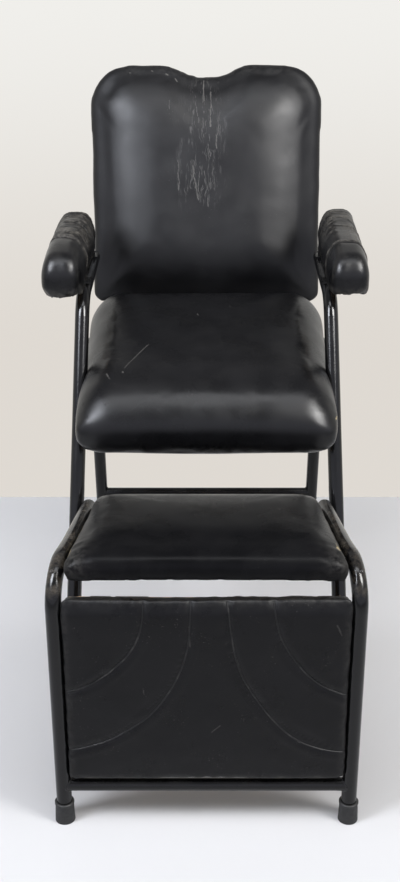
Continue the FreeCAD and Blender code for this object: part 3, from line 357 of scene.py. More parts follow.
@dataclass(frozen=True)
class Place:
    """A piece's own frame: X across, Y along it and Z out of its face."""

    depth: float
    height: float
    tilt: float
    across: float = 0.0

    def matrix(self) -> Matrix:
        """The frame as a matrix from its own metres to the shared frame."""
        origin = Vector((self.across, self.depth - DEPTH_SHIFT, self.height)) * MM
        return Matrix.Translation(origin) @ Matrix.Rotation(math.radians(self.tilt), 4, "X")

    def to_design(self, points: np.ndarray) -> np.ndarray:
        """Turn points of this frame into the maker's frame, both in millimetres."""
        turn = math.radians(self.tilt)
        x, y, z = points.T
        return np.stack([x + self.across, self.depth + y * math.cos(turn) - z * math.sin(turn),
                         self.height + y * math.sin(turn) + z * math.cos(turn)], axis=1)

    def from_design(self, points: np.ndarray) -> np.ndarray:
        """Turn points of the maker's frame into this frame, both in millimetres."""
        turn = math.radians(self.tilt)
        x, y, z = points.T
        y, z = y - self.depth, z - self.height
        return np.stack([x - self.across, y * math.cos(turn) + z * math.sin(turn),
                         z * math.cos(turn) - y * math.sin(turn)], axis=1)

    def mapping(self, graph: Graph) -> bpy.types.NodeSocket:
        """Object coordinates turned into this frame's millimetres."""
        source = graph.add("ShaderNodeTexCoord").outputs["Object"]
        origin = Vector((self.across, self.depth - DEPTH_SHIFT, self.height)) * MM
        feeds = {"Vector": source, "Location": origin, "Scale": (MM, MM, MM),
                 "Rotation": (math.radians(self.tilt), 0.0, 0.0)}
        return graph.add("ShaderNodeMapping", feeds, vector_type="TEXTURE").outputs[0]


CHAIR_FRAME = Place(DEPTH_SHIFT, 0.0, 0.0)
BACK_FACE = Place(809.31, 632.01, 73.5)
SEAT_FACE = Place(292.0, 526.9, 5.0)
LEG_FACE = Place(-9.0, 466.57, -9.0)
PANEL_FACE = Place(2.2, 91.0, 90.0)
LEFT_ARM_FACE = Place(457.0, 763.7, 0.0, -249.0)
RIGHT_ARM_FACE = Place(457.0, 763.7, 0.0, 249.0)


# ---------------------------------------------------------------- finishes


class Surface:
    """A new material, with the graph that feeds its main shader.

    Attributes:
        material: the material.
        graph: adds nodes to it.
        where: each point's place in the piece's own millimetres.
    """

    def __init__(self, name: str, place: Place) -> None:
        """Start the material.

        Args:
            name: its name.
            place: the frame that its patterns follow.
        """
        self.material = bpy.data.materials.new(name)
        self.material.use_nodes = True
        self.graph = Graph(self.material.node_tree)
        self.where = place.mapping(self.graph)

    def mask(self, effect: bpy.types.NodeTree, **feeds: Feed) -> bpy.types.NodeSocket:
        """A shared effect laid over the piece, as a number."""
        return self.graph.place(effect, Vector=self.where, **feeds).outputs[0]

    def finish(self, feeds: dict, strength: float = 0.0, height: Feed = 0.0) -> bpy.types.Material:
        """Feed the main shader.

        Args:
            feeds: values or sockets by the names of the shader's inputs.
            strength: how strongly the relief shows, or zero for none.
            height: the relief in millimetres.

        Returns:
            The finished material.
        """
        if strength:
            relief = {"Strength": strength, "Distance": MM, "Height": height}
            feeds = feeds | {"Normal": self.graph.add("ShaderNodeBump", relief).outputs[0]}
        shader = self.material.node_tree.nodes["Principled BSDF"]
        for name, value in feeds.items():
            self.graph.feed(shader.inputs[name], value)
        return self.material


@dataclass(frozen=True)
class Mark:
    """A worn line on a pad's face.

    Attributes:
        start: one end in the pad's own millimetres.
        end: the other end.
        width: how wide it is.
        depth: how far it dents the face.
        pale: how pale it is, from 0 to 1.
        wobble: how far it strays from straight.
    """

    start: tuple[float, float]
    end: tuple[float, float]
    width: float = 2.0
    depth: float = 0.5
    pale: float = 0.5
    wobble: float = 6.0


@dataclass(frozen=True)
class VinylFinish:
    """Black vinyl coated cloth over foam.

    Attributes:
        name: the material's name.
        place: the frame of the pad it covers.
        colour: the vinyl.
        worn: the vinyl where it is rubbed or scratched.
        rough: how matt it is.
        specular: how much it mirrors.
        cell: the size of a cell of its grain, in millimetres.
        grain: how high the grain stands.
        patches: how much of it is rubbed smooth.
        mottle: how much smoother those patches are.
        rub: how pale the worn zones get, and the painted highlights that share them on the seat's
            sides and the arms.
        dust: how much dust lies on it.
        crackle: how clear the net of cracks is.
        hair: how clear the fine long cracks are.
        specks: how clear the stray specks are.
        foam: the foam and backing where it is torn.
        marks: its worn lines.
    """

    name: str
    place: Place
    colour: Colour = (0.0034, 0.0034, 0.0040)
    worn: Colour = (0.10, 0.096, 0.09)
    rough: float = 0.30
    specular: float = 0.28
    cell: float = 1.2
    grain: float = 0.08
    patches: float = 0.18
    mottle: float = 0.08
    rub: float = 0.5
    dust: float = 0.05
    crackle: float = 0.0
    hair: float = 0.0
    specks: float = 0.35
    foam: Colour = (0.36, 0.29, 0.17)
    marks: tuple[Mark, ...] = ()

    def build(self, effects: Effects) -> bpy.types.Material:
        """Make the material.

        Args:
            effects: the shared effect groups.

        Returns:
            The finished material.
        """
        surface = Surface(self.name, self.place)
        graph, where = surface.graph, surface.where
        grain = graph.place(effects.grain, Vector=where, Cell=self.cell).outputs
        broken = graph.ramp(graph.noise(where, 9.0, 5.0, 0.68), 0.34, 0.66)
        # the wear attribute: real rubbing, and on the seat's sides and the arms painted highlights
        # too
        rubbed = graph.times(graph.times(graph.attribute("wear"), broken), self.rub)
        tone = graph.noise(where, 70.0, 3.0)
        lighter = tuple(c * 1.4 for c in self.colour)
        colour = graph.mix(graph.ramp(tone, 0.3, 0.7), self.colour, lighter)
        patch = surface.mask(effects.patches, Size=55.0, Amount=self.patches + 0.18, Softness=0.22)
        pale = graph.most(rubbed, surface.mask(effects.dust, Amount=self.dust))
        height = graph.times(grain["Height"], self.grain)
        pale, height = self._mark(surface, effects, pale, height)
        pale, height = self._crack(surface, effects, pale, height)
        colour = graph.mix(pale, colour, self.worn)
        frayed = graph.ramp(graph.noise(where, 3.5, 5.0, 0.7), 0.3, 0.7, -0.25, 0.25)
        bare = graph.ramp(graph.plus(graph.attribute("torn"), frayed), 0.46, 0.54)
        colour = graph.mix(bare, colour, self.foam)
        height = graph.less(height, graph.times(bare, 1.2))
        rough = graph.blend(graph.ramp(tone, 0.25, 0.75), self.rough - 0.05, self.rough + 0.06)
        rough = graph.less(rough, graph.times(patch, self.mottle))
        rough = graph.blend(pale, rough, 0.72)
        rough = graph.plus(rough, graph.times(grain["Pores"], 0.05))
        feeds = {"Base Color": colour, "Roughness": rough, "Specular IOR Level": self.specular}
        return surface.finish(feeds, 0.55, height)

    def _mark(self, surface: Surface, effects: Effects, pale: Feed,
              height: Feed) -> tuple[Feed, Feed]:
        """Draw the worn lines and the stray specks.

        Args:
            surface: the material.
            effects: the shared effect groups.
            pale: how pale the vinyl is so far.
            height: its relief so far.

        Returns:
            Both with the lines and specks.
        """
        graph = surface.graph
        for mark in self.marks:
            mask = surface.mask(effects.stroke, From=(*mark.start, 0.0), To=(*mark.end, 0.0),
                                Width=mark.width, Wobble=mark.wobble)
            pale = graph.most(pale, graph.times(mask, mark.pale))
            height = graph.less(height, graph.times(mask, mark.depth))
        specks = graph.ramp(graph.noise(surface.where, 2.4, 1.0), 0.71, 0.76)
        drifts = graph.ramp(graph.noise(surface.where, 46.0, 3.0), 0.5, 0.64)
        return graph.most(pale, graph.times(graph.times(specks, drifts), self.specks)), height

    def _crack(self, surface: Surface, effects: Effects, pale: Feed,
               height: Feed) -> tuple[Feed, Feed]:
        """Crack the vinyl where its mesh asks for it.

        Args:
            surface: the material.
            effects: the shared effect groups.
            pale: how pale the vinyl is so far.
            height: its relief so far.

        Returns:
            Both with the cracks.
        """
        graph = surface.graph
        fold = graph.attribute("fold")
        if self.hair:
            lines = surface.mask(effects.hair, Width=7.0, Length=110.0, Amount=0.25)
            zone = graph.times(lines, fold)
            pale = graph.most(pale, graph.times(zone, self.hair))
            height = graph.less(height, graph.times(zone, 0.6))
        if self.crackle:
            net = surface.mask(effects.crackle, Cell=10.0, Width=0.15)
            zone = graph.times(net, graph.times(fold, self.crackle))
            pale = graph.most(pale, graph.times(zone, 0.7))
            height = graph.less(height, zone)
        return pale, height


@dataclass(frozen=True)
class PaintFinish:
    """Gloss black paint on steel tube, with orange peel, dust and rubbed spots.

    Attributes:
        name: the material's name.
        colour: the paint.
        bare: the steel where it is chipped.
        rough: how matt it is.
        dust: how much dust lies on it.
        chips: how much of it is chipped.
        scuffed: the leg rest's rails where they are scuffed.
        scuffs: how clear those scuffs are.
        rail_height: between which heights the scuffs begin, in the shared frame.
        rail_depth: between which depths they end.
    """

    name: str
    colour: Colour = (0.0035, 0.0035, 0.004)
    bare: Colour = (0.20, 0.195, 0.185)
    rough: float = 0.12
    dust: float = 0.06
    chips: float = 0.02
    scuffed: Colour = (0.17, 0.14, 0.105)
    scuffs: float = 0.30
    rail_height: tuple[float, float] = (428.0, 446.0)
    rail_depth: tuple[float, float] = (-205.0, -160.0)

    def build(self, effects: Effects) -> bpy.types.Material:
        """Make the material.

        Args:
            effects: the shared effect groups.

        Returns:
            The finished material.
        """
        surface = Surface(self.name, CHAIR_FRAME)
        graph, where = surface.graph, surface.where
        peel = graph.noise(where, 3.2, 2.0, 0.4)
        haze = graph.noise(where, 48.0, 4.0, 0.6)
        fine = graph.stretched(where, (1.0, 1.0, 0.08))
        scratch = graph.ramp(graph.noise(fine, 1.6, 3.0, 0.7), 0.64, 0.72)
        chips = surface.mask(effects.patches, Size=16.0, Amount=self.chips + 0.2, Softness=0.03)
        pale = graph.most(surface.mask(effects.dust, Amount=self.dust), graph.times(chips, 0.35))
        pale = graph.most(pale, graph.times(scratch, 0.05))
        colour = graph.mix(pale, self.colour, self.bare)
        rail = graph.times(graph.ramp(graph.part(where, 2), *self.rail_height),
                           graph.ramp(graph.part(where, 1), *self.rail_depth, 1.0, 0.0))
        torn = graph.ramp(graph.noise(where, 19.0, 7.0, 0.72), 0.42, 0.70)
        scuff = graph.times(graph.times(rail, torn), self.scuffs)
        colour = graph.mix(scuff, colour, self.scuffed)
        rough = graph.blend(graph.ramp(haze, 0.35, 0.7), self.rough, self.rough + 0.10)
        rough = graph.blend(graph.most(pale, scuff), rough, 0.6)
        feeds = {"Base Color": colour, "Roughness": rough, "Specular IOR Level": 0.25,
                 "Coat Weight": 0.1, "Coat Roughness": 0.08}
        return surface.finish(feeds, 0.10, peel)


@dataclass(frozen=True)
class RubberFinish:
    """Matt black rubber or moulded plastic, dusty in its creases."""

    name: str
    colour: Colour = (0.006, 0.006, 0.0062)
    pale: Colour = (0.16, 0.155, 0.145)
    rough: float = 0.55
    dust: float = 0.14

    def build(self, effects: Effects) -> bpy.types.Material:
        """Make the material.

        Args:
            effects: the shared effect groups.

        Returns:
            The finished material.
        """
        surface = Surface(self.name, CHAIR_FRAME)
        graph, where = surface.graph, surface.where
        mottle = graph.noise(where, 7.0, 5.0, 0.6)
        rubbed = surface.mask(effects.patches, Size=11.0, Amount=0.32, Softness=0.2)
        pale = graph.most(surface.mask(effects.dust, Amount=self.dust), graph.times(rubbed, 0.07))
        rough = graph.ramp(mottle, 0.3, 0.7, self.rough - 0.08, self.rough + 0.12)
        height = graph.plus(graph.times(graph.noise(where, 0.8, 2.0), 0.3), mottle)
        colour = graph.mix(pale, self.colour, self.pale)
        return surface.finish({"Base Color": colour, "Roughness": rough}, 0.3, height)


@dataclass(frozen=True)
class ZincFinish:
    """Zinc plated steel with dull spots."""

    name: str
    colour: Colour = (0.42, 0.42, 0.40)
    dull: Colour = (0.22, 0.21, 0.19)

    def build(self, effects: Effects) -> bpy.types.Material:
        """Make the material.

        Args:
            effects: the shared effect groups.

        Returns:
            The finished material.
        """
        surface = Surface(self.name, CHAIR_FRAME)
        graph = surface.graph
        spots = surface.mask(effects.patches, Size=6.0, Amount=0.45, Softness=0.2)
        feeds = {"Base Color": graph.mix(spots, self.colour, self.dull),
                 "Roughness": graph.ramp(spots, 0.0, 1.0, 0.3, 0.62),
                 "Metallic": graph.ramp(spots, 0.0, 1.0, 1.0, 0.55)}
        return surface.finish(feeds, 0.2, graph.noise(surface.where, 0.7, 3.0))


@dataclass(frozen=True)
class PlywoodFinish:
    """Raw plywood: long grain, a wide figure and stains."""

    name: str
    light: Colour = (0.42, 0.29, 0.17)
    dark: Colour = (0.22, 0.135, 0.07)
    stained: Colour = (0.10, 0.07, 0.045)

    def build(self, effects: Effects) -> bpy.types.Material:
        """Make the material.

        Args:
            effects: the shared effect groups, as for the other finishes; not used.

        Returns:
            The finished material.
        """
        surface = Surface(self.name, CHAIR_FRAME)
        graph = surface.graph
        long = graph.stretched(surface.where, (0.06, 1.0, 1.0))
        lines = graph.noise(long, 5.0, 6.0, 0.62)
        figure = graph.ramp(graph.noise(long, 26.0, 3.0, 0.5), 0.2, 0.8, 0.4, 1.0)
        stain = graph.ramp(graph.noise(surface.where, 60.0, 4.0, 0.6), 0.55, 0.8, 0.0, 0.6)
        share = graph.times(graph.ramp(lines, 0.3, 0.75), figure)
        colour = graph.mix(stain, graph.mix(share, self.light, self.dark), self.stained)
        rough = graph.ramp(lines, 0.2, 0.8, 0.62, 0.82)
        return surface.finish({"Base Color": colour, "Roughness": rough}, 0.35, lines)


# ---------------------------------------------------------------- mesh helpers


def value_noise(points: np.ndarray, size: float, seed: int) -> np.ndarray:
    """Smooth noise from minus one to one.

    Args:
        points: places in millimetres, one row each.
        size: the size of a wave in millimetres.
        seed: which noise.

    Returns:
        One number for each place.
    """
    scaled = points / size + NOISE_OFFSET
    base = np.floor(scaled).astype(np.int64)
    part = scaled - base
    ease = part * part * (3 - 2 * part)
    total = np.zeros(len(points))
    for corner in itertools.product((0, 1), repeat=3):
        keys = ((base + np.array(corner)) * np.array(NOISE_PRIMES)).T
        mixed = keys[0] ^ keys[1] ^ keys[2] ^ (seed * SEED_PRIME)
        mixed = (mixed ^ (mixed >> 13)) * MIX_PRIME
        mixed = (mixed ^ (mixed >> 15)) & 0xFFFF
        weight = np.prod(np.where(np.array(corner) > 0, ease, 1 - ease), axis=1)
        total += (mixed / 32767.5 - 1) * weight
    return total


def step(values: np.ndarray, low: float, high: float) -> np.ndarray:
    """Ease from 0 at low to 1 at high."""
    share = np.clip((values - low) / (high - low), 0.0, 1.0)
    return share * share * (3 - 2 * share)


def fade(values: np.ndarray, low: float, high: float) -> np.ndarray:
    """Ease from 1 at low to 0 at high."""
    return 1.0 - step(values, low, high)


def bell(values: np.ndarray, width: float) -> np.ndarray:
    """One at zero, falling away smoothly on both sides."""
    return np.exp(-(values / width) ** 2)


def waves(points: np.ndarray, *layers: tuple[float, int, float]) -> np.ndarray:
    """Layers of smooth noise, each with its size in millimetres, its seed and its height."""
    return sum(value_noise(points, size, seed) * height for size, seed, height in layers)


def line_distance(points: np.ndarray, line: np.ndarray) -> np.ndarray:
    """The distance of flat points from a line of many short runs."""
    best = np.full(len(points), FAR)
    for start, end in zip(line, line[1:]):
        run = end - start
        share = np.clip(((points - start) @ run) / (run @ run), 0.0, 1.0)
        best = np.minimum(best, np.linalg.norm(points - start - share[:, None] * run, axis=1))
    return best


def smooth_line(points: Line, steps: int = 8) -> np.ndarray:
    """A smooth line through a few points, each run cut into steps."""
    ends = np.array([points[0], *points, points[-1]], dtype=float)
    runs = []
    for k in range(1, len(ends) - 2):
        before, first, second, after = ends[k - 1], ends[k], ends[k + 1], ends[k + 2]
        for share in np.linspace(0, 1, steps, endpoint=False):
            runs.append(0.5 * (2 * first + (second - before) * share
                               + (2 * before - 5 * first + 4 * second - after) * share ** 2
                               + (3 * first - before - 3 * second + after) * share ** 3))
    runs.append(ends[-1])
    line = np.array(runs)
    for _ in range(2 * steps):
        line[1:-1] = (line[:-2] + 2.0 * line[1:-1] + line[2:]) / 4.0
    return line


def deselect() -> None:
    """Leave nothing selected and nothing active."""
    bpy.ops.object.select_all(action="DESELECT")
    bpy.context.view_layer.objects.active = None


def choose(piece: bpy.types.Object) -> None:
    """Make one object the only one selected, and active."""
    deselect()
    piece.select_set(True)
    bpy.context.view_layer.objects.active = piece


def join(pieces: list[bpy.types.Object], name: str) -> bpy.types.Object:
    """Join objects into the first of them."""
    deselect()
    for piece in pieces:
        piece.select_set(True)
    bpy.context.view_layer.objects.active = pieces[0]
    bpy.ops.object.join()
    pieces[0].name = name
    return pieces[0]


def coat(piece: bpy.types.Object, material: bpy.types.Material) -> None:
    """Shade a piece smoothly and give it its finish."""
    piece.data.polygons.foreach_set("use_smooth", [True] * len(piece.data.polygons))
    piece.data.materials.append(material)


def link(name: str, data: bpy.types.ID) -> bpy.types.Object:
    """Put new data into the scene as an object."""
    piece = bpy.data.objects.new(name, data)
    bpy.context.scene.collection.objects.link(piece)
    return piece


def modify(piece: bpy.types.Object, kind: str, **settings: object) -> None:
    """Add a modifier, set it and apply it.

    Args:
        piece: the object.
        kind: the modifier's type.
        settings: its fields.
    """
    choose(piece)
    modifier = piece.modifiers.new(kind.lower(), kind)
    for name, value in settings.items():
        setattr(modifier, name, value)
    bpy.ops.object.modifier_apply(modifier=modifier.name)


def read_points(mesh: bpy.types.Mesh) -> np.ndarray:
    """A mesh's points in millimetres."""
    flat = np.empty(len(mesh.vertices) * 3)
    mesh.vertices.foreach_get("co", flat)
    return flat.reshape(-1, 3) / MM


def write_points(mesh: bpy.types.Mesh, points: np.ndarray) -> None:
    """Set a mesh's points from millimetres."""
    mesh.vertices.foreach_set("co", (points * MM).ravel())
    mesh.update()


def read_normals(mesh: bpy.types.Mesh) -> np.ndarray:
    """A mesh's normals at its points."""
    flat = np.empty(len(mesh.vertices) * 3)
    mesh.vertex_normals.foreach_get("vector", flat)
    return flat.reshape(-1, 3)


def paint(mesh: bpy.types.Mesh, name: str, values: np.ndarray) -> None:
    """Keep a number at each point of a mesh, for its material to read."""
    layer = mesh.attributes.new(name=name, type="FLOAT", domain="POINT")
    layer.data.foreach_set("value", np.clip(values, 0.0, 1.0).astype(np.float32))


def node_copy(node: str, name: str) -> bpy.types.Object:
    """A free copy of a frame node's mesh with its doubles merged."""
    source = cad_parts[node]
    mesh = source.data.copy()
    mesh.name = name
    mesh.materials.clear()
    piece = link(name, mesh)
    work = bmesh.new()
    work.from_mesh(mesh)
    bmesh.ops.transform(work, matrix=source.matrix_world, verts=work.verts)
    bmesh.ops.remove_doubles(work, verts=work.verts, dist=MERGE)
    bmesh.ops.recalc_face_normals(work, faces=work.faces)
    work.to_mesh(mesh)
    work.free()
    return piece


class Outline:
    """The outline of a flat board in a pad's own frame."""

    def __init__(self, node: str, place: Place) -> None:
        """Read the board's outline.

        Args:
            node: the board's frame node.
            place: the pad's frame.
        """
        board = node_copy(node, "outline_source")
        work = bmesh.new()
        work.from_mesh(board.data)
        bmesh.ops.transform(work, matrix=place.matrix().inverted(), verts=work.verts)
        work.verts.ensure_lookup_table()
        heights = [v.co.z for v in work.verts]
        self.low = min(heights) / MM
        self.high = max(heights) / MM
        limit = max(heights) - MERGE
        upper = [e for e in work.edges if min(v.co.z for v in e.verts) > limit]
        rim = [e for e in upper if len(e.link_faces) == 2
               and abs(e.link_faces[0].normal.z - e.link_faces[1].normal.z) > 0.5]
        longest = max(self._loops(rim), key=len)
        self.points = np.array([work.verts[k].co[:2] for k in longest]) / MM
        work.free()
        bpy.data.objects.remove(board)

    @staticmethod
    def _loops(rim: list) -> list[list[int]]:
        """Follow edges from point to point into loops of point numbers."""
        links: dict = {}
        for edge in rim:
            for vert in edge.verts:
                links.setdefault(vert.index, []).append(edge.other_vert(vert).index)
        loops = []
        left = set(links)
        while left:
            start = left.pop()
            loop = [start]
            while True:
                step_to = [k for k in links[loop[-1]] if k in left]
                if not step_to:
                    break
                loop.append(step_to[0])
                left.discard(step_to[0])
            loops.append(loop)
        return loops

    def depth(self, points: np.ndarray) -> tuple[np.ndarray, np.ndarray]:
        """How far points lie inside the outline.

        Args:
            points: flat points, one row each.

        Returns:
            The distance inside the outline, negative outside it, and the nearest outline points.
        """
        ring = np.vstack([self.points, self.points[:1]])
        best = np.full(len(points), FAR)
        nearest = np.zeros_like(points)
        inside = np.zeros(len(points), dtype=bool)
        for start, end in zip(ring, ring[1:]):
            run = end - start
            share = np.clip(((points - start) @ run) / max(run @ run, NOTHING), 0.0, 1.0)
            spot = start + share[:, None] * run
            far = np.linalg.norm(points - spot, axis=1)
            closer = far < best
            best[closer] = far[closer]
            nearest[closer] = spot[closer]
            crosses = (start[1] > points[:, 1]) != (end[1] > points[:, 1])
            if crosses.any() and abs(run[1]) > NOTHING:
                at_x = start[0] + (points[:, 1] - start[1]) * run[0] / run[1]
                inside ^= crosses & (points[:, 0] < at_x)
        return np.where(inside, best, -best), nearest


# ---------------------------------------------------------------- pads

CLOTH = {"quality": 4, "mass": 0.3, "tension_stiffness": 12.0, "compression_stiffness": 12.0,
         "bending_stiffness": 0.8, "use_pressure": True, "uniform_pressure_force": 4.0}
CLOTH_FRAMES = 20
SUNK = 0.6                   # how far the swelling may pull a point in, in millimetres
HEM = 14.0                   # how high the held lower edge reaches, in millimetres
SMOOTHING_LEVELS = 10


@dataclass
class Pad:
    """A foam pad in vinyl on a board.

    Attributes:
        node: the frame node that it replaces.
        board: the frame node of its board.
        body: the body it rides on.
        place: its own frame.
        finish: its vinyl.
        voxel: the size of its first mesh.
        floor: the level of its lower edge in its own frame.
        shrink: how much smaller it starts before it swells.
        cap: how far the swelling may move a point.
        levels: how often its mesh is divided after it swells.
        tubes: straight runs of tube that it stays clear of, in the maker's frame.
        tube_radius: the clear radius round them.
        fill: how tight it is, from 0 to 1; not used.
        softness: how far its edges and creases are rounded, in millimetres.
    """

    node: str
    board: str
    body: Body
    place: Place
    finish: VinylFinish
    voxel: float = 6.0
    floor: float = 0.0
    shrink: float = 1.5
    cap: float = 6.0
    levels: int = 1
    tubes: tuple = ()
    tube_radius: float = 13.3
    fill: float = 0.85
    softness: float = 10.0

    def make(self, effects: Effects) -> bpy.types.Object:
        """Args:
            effects: the shared effect groups.

        Returns:
            The finished piece.
        """
        self.outline = Outline(self.board, self.place)
        piece = self.foam()
        self.swell(piece)
        modify(piece, "SUBSURF", levels=self.levels, render_levels=self.levels)
        self.sculpt(piece)
        self.open_underside(piece)
        piece.data.transform(self.place.matrix())
        coat(piece, self.finish.build(effects))
        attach(piece, self.body.value)
        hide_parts(self.node)
        return piece

    def foam(self) -> bpy.types.Object:
        """The pad's own form from its frame node, closed below and evenly meshed."""
        piece = node_copy(self.node, self.node + "_vinyl")
        piece.data.transform(self.place.matrix().inverted())
        points = read_points(piece.data)
        pocket = (np.abs(points[:, 2] - self.outline.high) < NEAR) & (self.outline.high > 0.5)
        points[pocket, 2] = 0.0
        points[points[:, 2] < NEAR, 2] = self.floor
        write_points(piece.data, points)
        modify(piece, "REMESH", mode="VOXEL", voxel_size=self.voxel * MM)
        modify(piece, "SMOOTH", factor=0.5, iterations=2)
        points = read_points(piece.data)
        size = points.max(axis=0)
        least = points.min(axis=0)
        soft = step(points[:, 2], self.floor + 1.0, self.floor + HEM)
        group = piece.vertex_groups.new(name="soft")
        for level in range(1, SMOOTHING_LEVELS + 1):
            low, high = (level - 1) / SMOOTHING_LEVELS, level / SMOOTHING_LEVELS
            chosen = np.nonzero((soft > low) & (soft <= high))[0]
            group.add([int(k) for k in chosen], high, "REPLACE")
        rounds = int(round(4.0 * (self.softness / self.voxel) ** 2))
        modify(piece, "SMOOTH", factor=0.5, iterations=rounds, vertex_group="soft")
        piece.vertex_groups.clear()
        points = read_points(piece.data)
        upper = points[points[:, 2] > self.floor + 12.0]
        for axis in (0, 1):
            high, low = upper[:, axis].max(), upper[:, axis].min()
            share = (points[:, axis] - low) * (size[axis] - least[axis]) / (high - low)
            grown = least[axis] + share
            points[:, axis] += (grown - points[:, axis]) * soft
        z = points[:, 2]
        points[:, 2] = np.where(z > 0, z * size[2] / z.max(), z)
        write_points(piece.data, self.form(points))
        return piece

    def form(self, points: np.ndarray) -> np.ndarray:
        """The pad's larger lasting bends, before it swells."""
        return points

    @staticmethod
    def crowned(points: np.ndarray, reach: tuple[float, float, float, float],
                edge: float) -> np.ndarray:
        """Round the pad's top down towards its sides.

        Args:
            points: the pad's points in its own frame.
            reach: how far in from its left, right, front and rear side the rounding goes.
            edge: how low the top is at the sides, as a share of its height.

        Returns:
            The moved points.
        """
        x, y, z = points.T
        left, right, front, rear = reach
        inside = np.stack([(x - x.min()) / left, (x.max() - x) / right,
                           (y - y.min()) / front, (y.max() - y) / rear])
        away = np.sqrt(np.sum(np.clip(1.0 - inside, 0.0, 1.0) ** 2.4, axis=0))
        lowered = z * (1.0 - (1.0 - edge) * np.clip(away, 0.0, 1.15) ** 2)
        return np.stack([x, y, np.where(z > 0, lowered, z)], axis=1)

    def swell(self, piece: bpy.types.Object) -> None:
        """Let the vinyl swell over the foam as cloth under pressure, held at its lower edge."""
        mesh = piece.data
        start = read_points(mesh)
        normals = read_normals(mesh)
        held = start[:, 2] < self.floor + 1.5
        share = np.where(held, 0.0, step(start[:, 2], self.floor, self.floor + HEM))
        write_points(mesh, start - normals * (self.shrink * share)[:, None])
        group = piece.vertex_groups.new(name="held")
        group.add([int(k) for k in np.nonzero(held)[0]], 1.0, "REPLACE")
        choose(piece)
        cloth = piece.modifiers.new("swell", "CLOTH")
        for name, value in CLOTH.items():
            setattr(cloth.settings, name, value)
        cloth.settings.vertex_group_mass = group.name
        cloth.settings.effector_weights.gravity = 0.0
        cloth.collision_settings.use_collision = False
        cloth.point_cache.frame_start = 1
        cloth.point_cache.frame_end = CLOTH_FRAMES
        scene = bpy.context.scene
        for number in range(1, CLOTH_FRAMES + 1):
            scene.frame_set(number)
        bpy.ops.object.modifier_apply(modifier=cloth.name)
        scene.frame_set(1)
        moved = read_points(mesh) - start
        out = np.sum(moved * normals, axis=1)
        kept = moved + normals * (np.clip(out, -SUNK, self.cap) - out)[:, None]
        held_back = np.minimum(1.0, self.cap / np.maximum(np.linalg.norm(kept, axis=1), TINY))
        write_points(mesh, start + kept * held_back[:, None])
        piece.vertex_groups.clear()
        log.info("%s swelled by %.1f mm at most", piece.name, np.linalg.norm(moved, axis=1).max())
        modify(piece, "SMOOTH", factor=0.5, iterations=2)

    def sculpt(self, piece: bpy.types.Object) -> None:
        """Press folds and seams into the vinyl, and keep it clear of the tubes."""
        points = read_points(piece.data)
        normals = read_normals(piece.data)
        moves, wear, fold = self.relief(points, normals)
        points = points + normals * moves[:, None]
        points = self.keep_clear(points)
        write_points(piece.data, points)
        paint(piece.data, "wear", wear)
        paint(piece.data, "fold", fold)
        paint(piece.data, "torn", self.torn(points))

    def relief(self, points: np.ndarray, normals: np.ndarray) -> Relief:
        """How far each point moves out of the face, how worn it is, and how cracked.

        Args:
            points: the pad's points in its own frame.
            normals: the normals there.

        Returns:
            Three numbers for each point.
        """
        soft = waves(points, (60.0, 3, 0.8), (22.0, 5, 0.25))
        return soft, np.zeros(len(points)), np.zeros(len(points))

    def torn(self, points: np.ndarray) -> np.ndarray:
        """Where the vinyl is torn and the foam shows, from 0 to 1."""
        return np.zeros(len(points))

    def keep_clear(self, points: np.ndarray) -> np.ndarray:
        """Move points out of the tubes beside the pad."""
        if not self.tubes:
            return points
        spots = self.place.to_design(points)
        for start, end in self.tubes:
            first, last = np.array(start), np.array(end)
            run = last - first
            share = np.clip(((spots - first) @ run) / (run @ run), 0.0, 1.0)
            away = spots - first - share[:, None] * run
            far = np.linalg.norm(away, axis=1)
            push = np.maximum(self.tube_radius - far, 0.0) / np.maximum(far, TINY)
            spots = spots + away * push[:, None]
        return self.place.from_design(spots)

    def open_underside(self, piece: bpy.types.Object) -> None:
        """Flatten the lower edge and leave room for the board."""
        mesh = piece.data
        points = read_points(mesh)
        low = points[:, 2] < self.floor + 0.45 * self.voxel
        normals = read_normals(mesh)
        low &= normals[:, 2] < -0.5
        depth, nearest = self.outline.depth(points[:, :2])
        points[low, 2] = self.floor
        spacing = 0.75 * self.voxel / 2 ** (self.levels - 1)
        inner = low & (depth > 0)
        rim_in = inner & (depth < spacing)
        rim_out = low & (depth <= 0) & (depth > -spacing)
        outward = points[:, :2] - nearest
        size = np.maximum(np.linalg.norm(outward, axis=1), TINY)
        sign = np.where(depth > 0, -1.0, 1.0) / size
        outward = outward * sign[:, None]
        points[rim_in, :2] = nearest[rim_in] + outward[rim_in] * BOARD_GAP
        points[rim_out, :2] = nearest[rim_out] + outward[rim_out] * (BOARD_GAP + NEAR)
        points[inner, 2] = self.outline.high + BOARD_GAP
        beside = step(-depth, 0.0, 3.0) * fade(points[:, 2] - self.floor, 4.0, 22.0)
        points[:, 2] -= self.droop(points) * beside
        write_points(mesh, points)

    def droop(self, points: np.ndarray) -> np.ndarray:
        """How far the lower hem hangs below its level."""
        return np.zeros(len(points))


